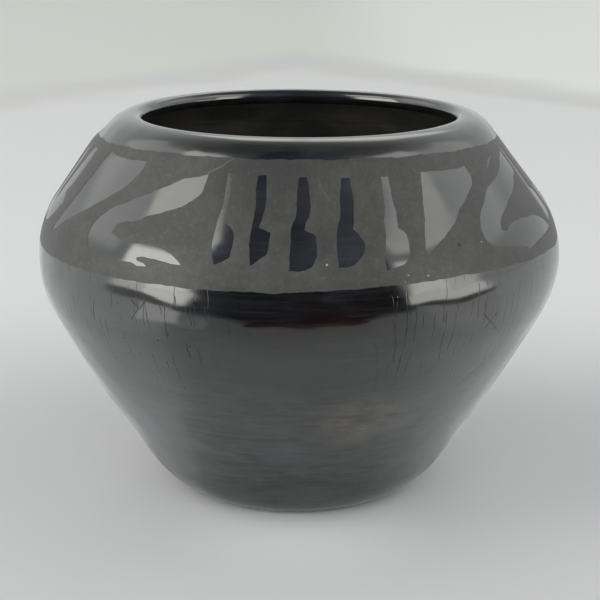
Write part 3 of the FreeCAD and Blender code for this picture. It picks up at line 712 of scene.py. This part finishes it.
def upright_lines(value, per_metre):
    v = n.add("TexVoronoi", feature="DISTANCE_TO_EDGE",
              voronoi_dimensions="1D")
    n.put(v.inputs["W"], n.math("MULTIPLY", value, per_metre))
    v.inputs["Scale"].default_value = 1.0
    v.inputs["Randomness"].default_value = 1.0
    return v.outputs["Distance"]


part_a = n.remap(n.noise(n.scaled(w, (210, 210, 130), (5, 2, 1)), 1.0, 2.0),
                 0.50, 0.57, 0.0, 1.0)
part_b = n.remap(n.noise(n.scaled(w, (150, 150, 110), (1, 9, 4)), 1.0, 2.0),
                 0.54, 0.60, 0.0, 1.0)
crack_line = n.math("MAXIMUM", n.math("MULTIPLY", part_a, n.remap(
    upright_lines(bent, 400.0), 0.010, 0.048, 1, 0)),
    n.math("MULTIPLY", part_b, n.remap(
        upright_lines(slant, 230.0), 0.006, 0.028, 1, 0)))
crack_side = n.remap(n.math("ABSOLUTE", side_x), 0.008, 0.026, 0.10, 0.85)
crack = n.math("MULTIPLY", crack_line,
               n.math("MULTIPLY", belly_zone, crack_side))
SPLITS = [[(-35.5, 66.0), (-33.5, 69.2), (-31.5, 71.6)],
          [(-33.5, 69.2), (-35.2, 71.4)],
          [(40.5, 66.5), (43.2, 63.6), (46.0, 60.6)],
          [(44.8, 65.6), (43.2, 63.6), (42.0, 61.6)],
          [(48.0, 49.5), (45.0, 46.9), (42.0, 43.5)],
          [(-46.0, 68.9), (-47.0, 63.1)]]


def stroke(n, arc_, s_, p, q, width):
    """A thin line on the skin between two (phi, z) places."""
    ax, ay = math.radians(p[0]) * 0.065, float(s_at(p[1])) / 1000
    bx, by = math.radians(q[0]) * 0.065, float(s_at(q[1])) / 1000
    ln = math.hypot(bx - ax, by - ay)
    ux, uy = (bx - ax) / ln, (by - ay) / ln
    dx = n.math("SUBTRACT", arc_, ax)
    dy = n.math("SUBTRACT", s_, ay)
    along = n.math("ADD", n.math("MULTIPLY", dx, ux),
                   n.math("MULTIPLY", dy, uy))
    off = n.math("SUBTRACT", n.math("MULTIPLY", dx, uy),
                 n.math("MULTIPLY", dy, ux))
    over = n.math("SUBTRACT", along, n.math(
        "MINIMUM", n.math("MAXIMUM", along, 0.0), ln))
    away = n.math("SQRT", n.math("ADD", n.math("MULTIPLY", off, off),
                                 n.math("MULTIPLY", over, over)))
    return n.remap(away, width * 0.4, width, 1.0, 0.0)


for path in SPLITS:
    for p, q in zip(path[:-1], path[1:]):
        crack = n.math("MAXIMUM", crack, n.math("MULTIPLY", stroke(
            n, n.math("SUBTRACT", bent, 0.00075), height_s, p, q, 0.00020),
            0.72))
pale = specks(n, w, 95, 0.035, 0.10)
dark = specks(n, n.scaled(w, (1, 1, 1), (0.31, 0.2, 0.11)), 220, 0.08, 0.06)
pit_cluster = n.math("MULTIPLY", n.near(
    w, at(-31.0, 62.0), 0.003, 0.018, (1, 1, 0.50)),
    specks(n, n.scaled(w, (1, 1, 1), (0.1, 0.5, 0.3)), 430, 0.17, 0.50))
brown_mask = n.math("MULTIPLY", n.near(
    w, at(17.0, 37.0), 0.003, 0.019, (1, 1, 1.5)),
    n.remap(n.noise(n.scaled(w, (95, 95, 300)), 1.0, 4.0, 0.7), 0.36, 0.62))
lower_zone = n.remap(height_s, 0.050, 0.068, 1.0, 0.30)
# painted reflection: a faint warm red patch painted into the slip's colour at the front, below the band,
# standing in for a warm object reflected there
painted_red_reflection_mask = n.math("MULTIPLY", n.near(
    w, at(2, 66.0), 0.004, 0.026, (1, 1, 3.0)),
    n.remap(cloud, 0.35, 0.6, 0.3, 1.0))
col = n.mix(n.remap(cloud, 0.35, 0.68), (0.0018, 0.0022, 0.0028),
            (0.0038, 0.0035, 0.0032))
col = n.mix(n.math("MULTIPLY", n.remap(mist, 0.40, 0.70), n.math(
    "MULTIPLY", lower_zone, 0.85)), col, (0.031, 0.0332, 0.0355))
col = n.mix(n.math("MULTIPLY", n.remap(mottle, 0.45, 0.72), n.math(
    "MULTIPLY", lower_zone, 0.55)), col, (0.030, 0.0305, 0.0310))
col = n.mix(n.math("MULTIPLY", painted_red_reflection_mask, 0.38), col, (0.017, 0.0060, 0.0036))
col = n.mix(n.math("MULTIPLY", brown_mask, 0.75), col, (0.086, 0.069, 0.053))
col = n.mix(n.math("MULTIPLY", n.remap(streak_b, 0.45, 0.75), n.math(
    "MULTIPLY", lower_zone, 0.60)), col, (0.040, 0.0395, 0.039))
col = n.mix(n.math("MULTIPLY", crack, 0.8), col, (0.0010, 0.0010, 0.0010))
col = n.mix(n.math("MULTIPLY", dark, 0.8), col, (0.002, 0.002, 0.002))
col = n.mix(n.math("MULTIPLY", pit_cluster, 0.8), col, (0.003, 0.003, 0.003))
col = n.mix(n.math("MULTIPLY", pale, 0.75), col, (0.30, 0.29, 0.27))
rough = n.math("ADD", 0.030, n.math("MULTIPLY", cloud, 0.07))
rough = n.math("ADD", rough, n.math("MULTIPLY", streak, 0.06))
rough = n.math("ADD", rough, n.math(
    "MULTIPLY", n.remap(mist, 0.40, 0.70), 0.10))
rough = n.math("ADD", rough, n.math("MULTIPLY", mottle, 0.07))
rough = n.math("ADD", rough, n.math("MULTIPLY", streak_b, 0.04))
rough = n.math("MULTIPLY", rough, n.remap(height_s, 0.062, 0.082, 1.0, 0.66))
rough = n.math("ADD", rough, n.math("MULTIPLY", brown_mask, 0.12))
rough = n.math("ADD", rough, n.math("MULTIPLY", crack, 0.20))
rough = n.math("ADD", rough, n.math("MULTIPLY", pit_cluster, 0.4))
rough = n.math("ADD", rough, n.math("MULTIPLY", pale, 0.5), clamp=True)
height = n.math("MULTIPLY", streak, 0.0060)
height = n.math("ADD", height, n.math("MULTIPLY", streak_b, 0.0024))
height = n.math("ADD", height, n.math("MULTIPLY", upright, 0.0022))
height = n.math("ADD", height, n.math("MULTIPLY", mottle, 0.0030))
height = n.math("ADD", height, n.math(
    "MULTIPLY", grain, n.remap(band_zone, 0, 1, 0.0010, 0.0018)))
height = n.math("ADD", height, n.math("MULTIPLY", crack, -0.012))
height = n.math("ADD", height, n.math("MULTIPLY", dark, -0.02))
height = n.math("ADD", height, n.math("MULTIPLY", pit_cluster, -0.02))
height = n.math("ADD", height, n.math("MULTIPLY", pale, 0.01))
dull = n.math("MAXIMUM", n.math("MULTIPLY", crack, 0.85),
              n.math("MULTIPLY", pit_cluster, 0.6))
close_material(n, col, rough, height, 2.0,
               n.math("MULTIPLY", n.math("SUBTRACT", 1.0, dull), 0.5))
slip.data.materials.append(mat)

# matte slip
mat, n = new_material("matte_slip_paint")
w = wrap_node(n)
patch = n.noise(n.scaled(w, (60, 60, 60)), 1.0, 3.0, 0.6)
brush = n.noise(n.scaled(w, (620, 620, 42)), 1.0, 3.0, 0.6, 0.2)
fine = n.noise(n.scaled(w, (1, 1, 1)), 1900, 3.0, 0.65)
pale = specks(n, w, 165, 0.060, 0.26)
xyz = n.add("SeparateXYZ")
n.put(xyz.inputs[0], w)
arc_b = n.math("MULTIPLY", n.math(
    "ARCTAN2", xyz.outputs[0], n.math("MULTIPLY", xyz.outputs[1], -1.0)),
    0.065)
scratch = n.math("MAXIMUM", stroke(
    n, arc_b, xyz.outputs[2], (-22.6, 103.4), (-19.5, 105.0), 0.00020),
    stroke(n, arc_b, xyz.outputs[2], (-19.5, 105.0), (-16.4, 107.2), 0.00016))
scratch = n.math("MAXIMUM", scratch, n.math("MULTIPLY", stroke(
    n, arc_b, xyz.outputs[2], (5.5, 101.0), (8.0, 97.5), 0.00014), 0.5))
crumbs = n.math("MULTIPLY", n.near(w, at(24.5, 78.5), 0.0015, 0.0050,
                                   (1, 1, 1.6)), specks(
    n, n.scaled(w, (1, 1, 1), (0.7, 0.1, 0.2)), 900, 0.30, 0.45))
hollow = n.near(w, at(35.7, 85.1), 0.0003, 0.0008)
patchy = n.noise(n.scaled(w, (380, 380, 420), (2, 2, 5)), 1.0, 3.0, 0.6)
grainy = n.noise(n.scaled(w, (1, 1, 1), (4, 1, 0)), 1000, 2.0, 0.6)
col = n.mix(n.remap(patch, 0.3, 0.7), (0.034, 0.034, 0.033),
            (0.056, 0.055, 0.052))
col = n.mix(n.math("MULTIPLY", n.remap(brush, 0.35, 0.75), 0.14), col,
            (0.078, 0.076, 0.071))
col = n.mix(n.math("MULTIPLY", n.remap(fine, 0.55, 0.8), 0.5), col,
            (0.026, 0.026, 0.026))
col = n.mix(n.remap(patchy, 0.34, 0.66, 0.0, 0.50), col, (0.028, 0.028, 0.027))
col = n.mix(n.remap(grainy, 0.50, 0.74, 0.0, 0.44), col, (0.082, 0.081, 0.074))
col = n.mix(n.math("MULTIPLY", scratch, 0.55), col, (0.17, 0.165, 0.15))
col = n.mix(n.math("MULTIPLY", n.math("MAXIMUM", pale, crumbs), 0.75), col,
            (0.42, 0.41, 0.38))
col = n.mix(n.math("MULTIPLY", hollow, 0.85), col, (0.004, 0.004, 0.004))
rough = n.math("ADD", 0.36, n.math("MULTIPLY", patch, 0.12))
rough = n.math("ADD", rough, n.math("MULTIPLY", brush, 0.10))
height = n.math("MULTIPLY", brush, 0.0028)
height = n.math("ADD", height, n.math("MULTIPLY", fine, 0.0050))
height = n.math("ADD", height, n.math("MULTIPLY", pale, 0.012))
height = n.math("ADD", height, n.math("MULTIPLY", patchy, 0.004))
height = n.math("ADD", height, n.math("MULTIPLY", hollow, -0.03))
close_material(n, col, rough, height, 1.5)
band.data.materials.append(mat)


# bare fired clay, smoked black
def clay_material(name, tone, seed):
    mat, n = new_material(name)
    tex = n.add("TexCoord")
    o = tex.outputs["Object"]
    a = n.noise(n.scaled(o, (70, 70, 110), (seed, 0, 0)), 1.0, 4.0, 0.6)
    b = n.noise(n.scaled(o, (60, 60, 700), (0, seed, 0)), 1.0, 3.0, 0.6)
    g = n.noise(o, 1700, 4.0, 0.7)
    grit = specks(n, o, 420, 0.2, 0.12)
    base = tuple(tone * k for k in (1.0, 0.98, 0.93))
    lighter = tuple(tone * k for k in (2.0, 1.9, 1.75))
    col = n.mix(n.remap(a, 0.35, 0.7), base, lighter)
    col = n.mix(n.math("MULTIPLY", n.remap(b, 0.5, 0.8), 0.4), col,
                tuple(tone * 0.5 for k in range(3)))
    col = n.mix(n.math("MULTIPLY", grit, 0.5), col,
                tuple(tone * k for k in (5.0, 4.6, 4.0)))
    rough = n.math("ADD", 0.62, n.math("MULTIPLY", a, 0.25))
    height = n.math("MULTIPLY", b, 0.05)
    height = n.math("ADD", height, n.math("MULTIPLY", g, 0.02))
    height = n.math("ADD", height, n.math("MULTIPLY", grit, 0.03))
    close_material(n, col, rough, height, 1.45)
    return mat


clay_mat = clay_material("smoked_clay", 0.024, 2.0)
foot_mat = clay_material("smoked_clay_foot", 0.030, 5.0)
for name, obj in clay_pieces.items():
    obj.data.materials.append(foot_mat if name == "base_slab" else clay_mat)
# the slab's inside is as dark as the coils' inside
slab = clay_pieces["base_slab"].data
slab.materials.append(clay_mat)
inside_faces = [1 if (p.center.z > 0.0065 and math.hypot(
    p.center.x + 0.00077, p.center.y) < 0.0325) else 0 for p in slab.polygons]
slab.polygons.foreach_set("material_index", inside_faces)

# ------------------------------------------------------------ frame calls
for name, obj in clay_pieces.items():
    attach(obj, "root")
    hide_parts(name)
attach(slip, "root")
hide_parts("burnished_slip")
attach(band, "root")
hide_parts("matte_slip_band")

# ------------------------------------------------------------------- stage
def flat_card(name, corners):
    mesh = bpy.data.meshes.new(name)
    mesh.from_pydata([tuple(c) for c in corners], [], [tuple(range(
        len(corners)))])
    mesh.update()
    obj = bpy.data.objects.new(name, mesh)
    bpy.context.scene.collection.objects.link(obj)
    return obj


def glow(name, colour, strength):
    m = bpy.data.materials.new(name)
    m.use_nodes = True
    t = m.node_tree
    t.nodes.clear()
    e = t.nodes.new("ShaderNodeEmission")
    e.inputs[0].default_value = (*colour, 1)
    e.inputs[1].default_value = strength
    o = t.nodes.new("ShaderNodeOutputMaterial")
    t.links.new(e.outputs[0], o.inputs[0])
    return m


def only_gloss(obj):
    obj.visible_camera = False
    obj.visible_diffuse = False
    obj.visible_shadow = False
    obj.visible_transmission = False
    obj.visible_volume_scatter = False


floor_obj = flat_card("floor", [(-6, -6, 0), (6, -6, 0), (6, 6, 0),
                                (-6, 6, 0)])
mat, n = new_material("pale_floor")
tex = n.add("TexCoord")
o = tex.outputs["Object"]
soft = n.noise(o, 2.5, 3.0, 0.5)
tiny = n.noise(o, 900, 2.0, 0.6)
far = n.add("SeparateXYZ")
n.put(far.inputs[0], o)
gx, gy, _ = far.outputs
lit_patch_dy = n.math("ADD", gy, 0.036)
lit_patch_r = n.math("SQRT", n.math("ADD", n.math("MULTIPLY", gx, gx),
                           n.math("MULTIPLY", lit_patch_dy, lit_patch_dy)))
col = n.mix(n.remap(soft, 0.3, 0.7), (0.615, 0.615, 0.620),
            (0.645, 0.645, 0.650))
# painted light: the floor paler further back, darker towards the front
col = n.mix(n.remap(gy, 0.02, 0.26, 0.0, 1.0), col, (0.805, 0.805, 0.805))
# painted light: a paler patch of floor just in front of the foot, painted over its contact shadow
col = n.mix(n.math("MULTIPLY", n.remap(lit_patch_r, 0.000, 0.046, 1.0, 0.0),
                   n.remap(gy, 0.0, 0.03, 1.0, 0.0)), col,
            (0.790, 0.792, 0.798))
gate = n.math("ADD", gy, n.math("MULTIPLY", n.math("ABSOLUTE", gx), 1.1))
gate = n.math("ADD", gate, n.math("MULTIPLY", n.noise(o, 5.0, 3.0), 0.16))
beyond = n.remap(gate, 1.10, 1.22, 0.0, 1.0)
# painted shade: a darker band where the backdrop curves up, on flat floor
fold_shade = n.math("MULTIPLY", n.remap(gate, 1.06, 1.13, 0.0, 1.0),
              n.remap(gate, 1.15, 1.26, 1.0, 0.0))
# the far part takes the backdrop's greenish tone and is paler on the right; the greenish tint is its own
# colour, the paler right side painted light
right = n.remap(gx, -0.02, 0.16, 0.0, 1.0)
col = n.mix(beyond, col, n.mix(right, (0.775, 0.785, 0.735),
                               (0.895, 0.905, 0.860)))
col = n.mix(n.math("MULTIPLY", fold_shade, 0.75), col, (0.700, 0.700, 0.680))
close_material(n, col, n.math("ADD", 0.55, n.math("MULTIPLY", soft, 0.2)),
               n.math("MULTIPLY", tiny, 0.01), 1.4, 0.3)
floor_obj.data.materials.append(mat)


def sector(az0, az1, r0, r1, z, steps=10):
    a = np.radians(np.linspace(az0, az1, steps))
    inner_ = [(r0 * math.sin(t), -r0 * math.cos(t), z) for t in a]
    outer_ = [(r1 * math.sin(t), -r1 * math.cos(t), z) for t in a[::-1]]
    return inner_ + outer_


def floor_glow(name, az0, az1, r0, r1, strength, colour=(1, 1, 1)):
    obj = flat_card(name, sector(az0, az1, r0, r1, 0.0008))
    obj.data.materials.append(glow(name, colour, strength))
    only_gloss(obj)
    return obj


# a glowing sheet seen only in reflections, no lamp: painted reflection of the floor, brighter towards the
# lit sides, darker to the front and back
sheet = flat_card("painted_floor_reflection", sector(-180, 180, 0.0, 4.0, 0.0005, 49)[49:]
                  )
only_gloss(sheet)
m = bpy.data.materials.new("painted_floor_reflection")
m.use_nodes = True
n = Nodes(m.node_tree)
tex = n.add("TexCoord")
sp = n.add("SeparateXYZ")
n.put(sp.inputs[0], tex.outputs["Object"])
FX, FY, _ = sp.outputs
f_az = n.math("ARCTAN2", FX, n.math("MULTIPLY", FY, -1.0))
f_r = n.math("SQRT", n.math("ADD", n.math("MULTIPLY", FX, FX),
                            n.math("MULTIPLY", FY, FY)))


def curve_in(nodes, value, pts):
    c = nodes.add("FloatCurve")
    mp = c.mapping
    cv = mp.curves[0]
    cv.points[0].location = pts[0]
    cv.points[1].location = pts[-1]
    for q in pts[1:-1]:
        cv.points.new(*q)
    mp.update()
    nodes.put(c.inputs["Value"], value)
    return c.outputs[0]


around = n.math("ADD", n.math("DIVIDE", f_az, TAU), 0.5)
REFLECTED_FLOOR_LEVEL = [(-180, .35), (-160, .70), (-140, .90), (-110, .97), (-90, .96),
        (-75, 1.0), (-60, 1.0), (-48, .66), (-32, .42), (0, .335), (30, .43),
        (48, .64), (65, .84), (90, .97), (120, .93), (145, .80), (162, .62),
        (180, .35)]
level = curve_in(n, around, [((a_ + 180) / 360, v_ ) for a_, v_ in REFLECTED_FLOOR_LEVEL])
# painted shadow: the reflected floor darker close around the foot, most at the front
level = n.math("ADD", n.math("MULTIPLY", level, n.remap(
    f_r, 0.09, 0.20, 0.0, 1.0)), n.math("MULTIPLY", n.remap(
        f_r, 0.09, 0.20, 1.0, 0.0), n.math("MULTIPLY", n.remap(
            f_r, 0.030, 0.068, n.remap(FY, -0.016, 0.008, 0.48, 0.10), 1.0),
            n.math("ADD", n.math("MULTIPLY", level, 0.45), 0.33))))
em = n.add("Emission")
em.inputs[0].default_value = (0.970, 1.0, 1.005, 1)
n.put(em.inputs[1], level)
ou = n.add("OutputMaterial")
n.put(ou.inputs[0], em.outputs[0])
sheet.data.materials.append(m)


def glow_card(name, pts, strength, colour=(1, 1, 1), z=0.0009):
    obj = flat_card(name, [(x_, y_, z) for x_, y_ in pts])
    obj.data.materials.append(glow(name, colour, strength))
    only_gloss(obj)


def polar(*pts):
    return [(r_ * math.sin(math.radians(a_)), -r_ * math.cos(math.radians(a_)))
            for a_, r_ in pts]


# glowing cards seen only in reflections, no lamps: painted reflections of window light on the floor (sheen),
# with darker painted gaps just below the windows
WARM = (1.0, 1.0, 0.955)
glow_card("sheen_left", polar((-66, .64), (-59, .57), (-50, .47), (-42, .40),
                              (-44, 5.5), (-66, 5.5))[::-1], 3.4, WARM, z=0.0008)
glow_card("sheen_left_far", polar((-84, .88), (-80, .78), (-70, .67),
                                  (-66, .64), (-66, 5.5), (-84, 5.5))[::-1],
          2.3, WARM, z=0.0008)
glow_card("sheen_left_near", polar((-63, .19), (-44, .185), (-44, .345),
                                   (-63, .36)), 1.55, z=0.0008)
floor_glow("sheen_left_front", -44, -33, 0.170, 0.232, 0.64)
glow_card("dark_gap_reflection_left", polar((-84, .46), (-80, .44), (-70, .395), (-59, .368),
                            (-42, .345), (-42, .40), (-50, .47), (-59, .57), (-70, .67),
                            (-80, .78), (-84, .88))[::-1], 0.34, z=0.0010)
glow_card("sheen_right", polar((42, .43), (62, .47), (73, .50), (83, .57),
                               (83, 5.5), (45, 5.5)), 2.5, WARM, z=0.0008)
floor_glow("sheen_right_near", 52, 84, 0.16, 0.33, 0.85)
glow_card("dark_gap_reflection_right", polar((44, .36), (53, .33), (62, .315), (73, .33),
                             (84, .42), (86, .58), (73, .50), (62, .47),
                             (53, .445), (44, .43)), 0.15, z=0.0010)
# painted reflection: dim bluish glowing cards, seen only in reflections, for the unlit front of the room
glow_card("dark_front_reflection_edge", [(-0.235, -0.209), (-0.15, -0.212), (-0.10, -0.208),
                       (0.0, -0.184), (0.05, -0.190), (0.113, -0.208),
                       (0.215, -0.206), (0.30, -0.30), (-0.34, -0.30)],
          0.16, z=0.0011)
glow_card("dark_front_reflection_far", [(-0.225, -0.230), (-0.147, -0.232), (-0.10, -0.232),
                        (0.0, -0.206), (0.05, -0.212), (0.113, -0.232),
                        (0.20, -0.226), (5.5, -5.4), (-5.3, -5.5)], 0.022,
          (0.85, 0.95, 1.3), 0.0012)
# painted reflection: a dim warm patch in the dark front, seen only in reflections
glow_card("warm_front_reflection", [(-0.070, -0.190), (0.10, -0.196), (0.10, -0.224),
                        (-0.070, -0.218)], 0.062, (1.0, 0.50, 0.40), 0.0013)

# surroundings: soft light from all sides but the front, windows left and
# right, a lit patch above at the back
world = bpy.data.worlds.new("soft_studio")
bpy.context.scene.world = world
world.use_nodes = True
n = Nodes(world.node_tree)
tex = n.add("TexCoord")
sep = n.add("SeparateXYZ")
n.put(sep.inputs[0], tex.outputs["Generated"])
X, Y, Z = sep.outputs
DEG = 180 / math.pi
az = n.math("MULTIPLY", n.math("ARCTAN2", X, n.math("MULTIPLY", Y, -1.0)),
            DEG)
az_abs = n.math("ABSOLUTE", az)
el = n.math("MULTIPLY", n.math("ARCSINE", Z), DEG)


def curve(value, points):
    c = n.add("FloatCurve")
    m = c.mapping
    cv = m.curves[0]
    while len(cv.points) > 2:
        cv.points.remove(cv.points[-1])
    cv.points[0].location = points[0]
    cv.points[1].location = points[-1]
    for p in points[1:-1]:
        cv.points.new(*p)
    m.update()
    n.put(c.inputs["Value"], value)
    return c.outputs[0]


def ramp_up(value, a, soft_):
    return n.remap(value, a - soft_, a + soft_, 0.0, 1.0)


def ramp_down(value, a, soft_):
    return n.remap(value, a - soft_, a + soft_, 1.0, 0.0)


def product(*v):
    total = v[0]
    for x in v[1:]:
        total = n.math("MULTIPLY", total, x)
    return total


el01 = n.math("DIVIDE", n.math("MAXIMUM", el, 0.0), 90.0)
sides = curve(el01, [(0, .86), (.2, .84), (.38, .80), (.50, .62), (.58, .46),
                     (.68, .27), (.8, .17), (1, .13)])
front = curve(el01, [(0, .03), (.12, .05), (.24, .14), (.38, .20), (.52, .25),
                     (.62, .22), (.75, .16), (1, .13)])
in_front = product(ramp_up(az, -45, 3), ramp_down(az, 44.5, 2))
darker = n.math("SUBTRACT", 1.0, product(
    ramp_up(az, -36, 4), ramp_down(az, 10, 5), 0.42))
front = n.math("MULTIPLY", front, darker)
light = n.math("ADD", product(sides, n.math("SUBTRACT", 1.0, in_front)),
               product(front, in_front))


def add_window(total, az0, az1, el0, el1, strength, sa=1.5, se=1.5, v=None):
    v = az if v is None else v
    m = product(ramp_up(v, az0, sa), ramp_down(v, az1, sa),
                ramp_up(el, el0, se), ramp_down(el, el1, se))
    return n.math("ADD", total, n.math("MULTIPLY", m, strength))


light = add_window(light, -82, -47.5, -20, 11, 1.9)
light = add_window(light, -66, -46.5, -20, 11, 1.0, 2.5)
light = add_window(light, -82, -48.5, 11, 31, 3.3)
light = add_window(light, -92, -47, 38, 55, 1.9, 2, 2.5)
light = add_window(light, -132, -92, 18, 47, 0.55, 4, 4)
light = add_window(light, 95, 130, 22, 44, 0.42, 4, 4)
light = add_window(light, 47.5, 66, -20, 30, 2.0, 1.2)
light = add_window(light, 66, 82, -20, 9, 1.4, 3)
light = add_window(light, 51, 95, 37, 54, 1.15, 3, 3)
light = add_window(light, 160, 180, 28, 48, 1.3, 4, 4)
light = add_window(light, -181, -170, 28, 48, 1.3, 0.5, 4)
tint = n.mix(ramp_up(light, 1.6, 0.5), (0.985, 1.0, 1.0), (1.0, 1.0, 0.955))
bg = n.add("Background")
cool = n.mix(in_front, tint, (0.88, 0.96, 1.20))
n.put(bg.inputs[0], cool)
n.put(bg.inputs[1], light)
wo = n.add("OutputWorld")
n.put(wo.inputs["Surface"], bg.outputs[0])
world.cycles.sampling_method = "MANUAL"
world.cycles.sample_map_resolution = 1024

front_data = bpy.data.lights.new("front_softbox", "AREA")
front_data.shape = "RECTANGLE"
front_data.size = 1.2
front_data.size_y = 0.5
front_data.energy = 8.3
front_lamp = bpy.data.objects.new("front_softbox", front_data)
bpy.context.scene.collection.objects.link(front_lamp)
front_lamp.location = (0, -1.05, 0.50)
front_lamp.rotation_euler = (
    Vector((0, -1.05, 0.50)) - Vector((0, 0, 0.02))
).to_track_quat("Z", "Y").to_euler()
front_lamp.visible_glossy = False
front_lamp.visible_camera = False

# a plain pale surround for views from other sides
bm_mesh = bpy.data.meshes.new("surround")
rings, segs, radius = 16, 32, 5.5
verts, faces = [], []
for i in range(rings + 1):
    t = math.radians(-10 + 100 * i / rings)
    for k in range(segs):
        p = TAU * k / segs
        verts.append((radius * math.cos(t) * math.sin(p),
                      radius * math.cos(t) * math.cos(p),
                      radius * math.sin(t)))
for i in range(rings):
    for k in range(segs):
        k2 = (k + 1) % segs
        faces.append((i * segs + k, i * segs + k2, (i + 1) * segs + k2,
                      (i + 1) * segs + k))
bm_mesh.from_pydata(verts, [], faces)
surround = bpy.data.objects.new("surround", bm_mesh)
bpy.context.scene.collection.objects.link(surround)
bm_mesh.materials.append(glow("surround_tone", (0.99, 1.0, 0.985), 0.60))
surround.visible_diffuse = False
surround.visible_glossy = False
surround.visible_shadow = False
surround.visible_transmission = False

# ------------------------------------------------------------------ camera
cam_data = bpy.data.cameras.new("camera")
cam = bpy.data.objects.new("camera", cam_data)
bpy.context.scene.collection.objects.link(cam)
cam.location = (0.00021, -0.500, 0.1839)
cam.rotation_euler = (math.radians(90 - 14.398), 0, 0)
cam_data.sensor_width = 36.0
cam_data.lens = 105.45
cam_data.clip_start = 0.01
cam_data.clip_end = 50
cam_data.dof.use_dof = False
bpy.context.scene.camera = cam
bpy.context.scene.view_settings.view_transform = "Standard"
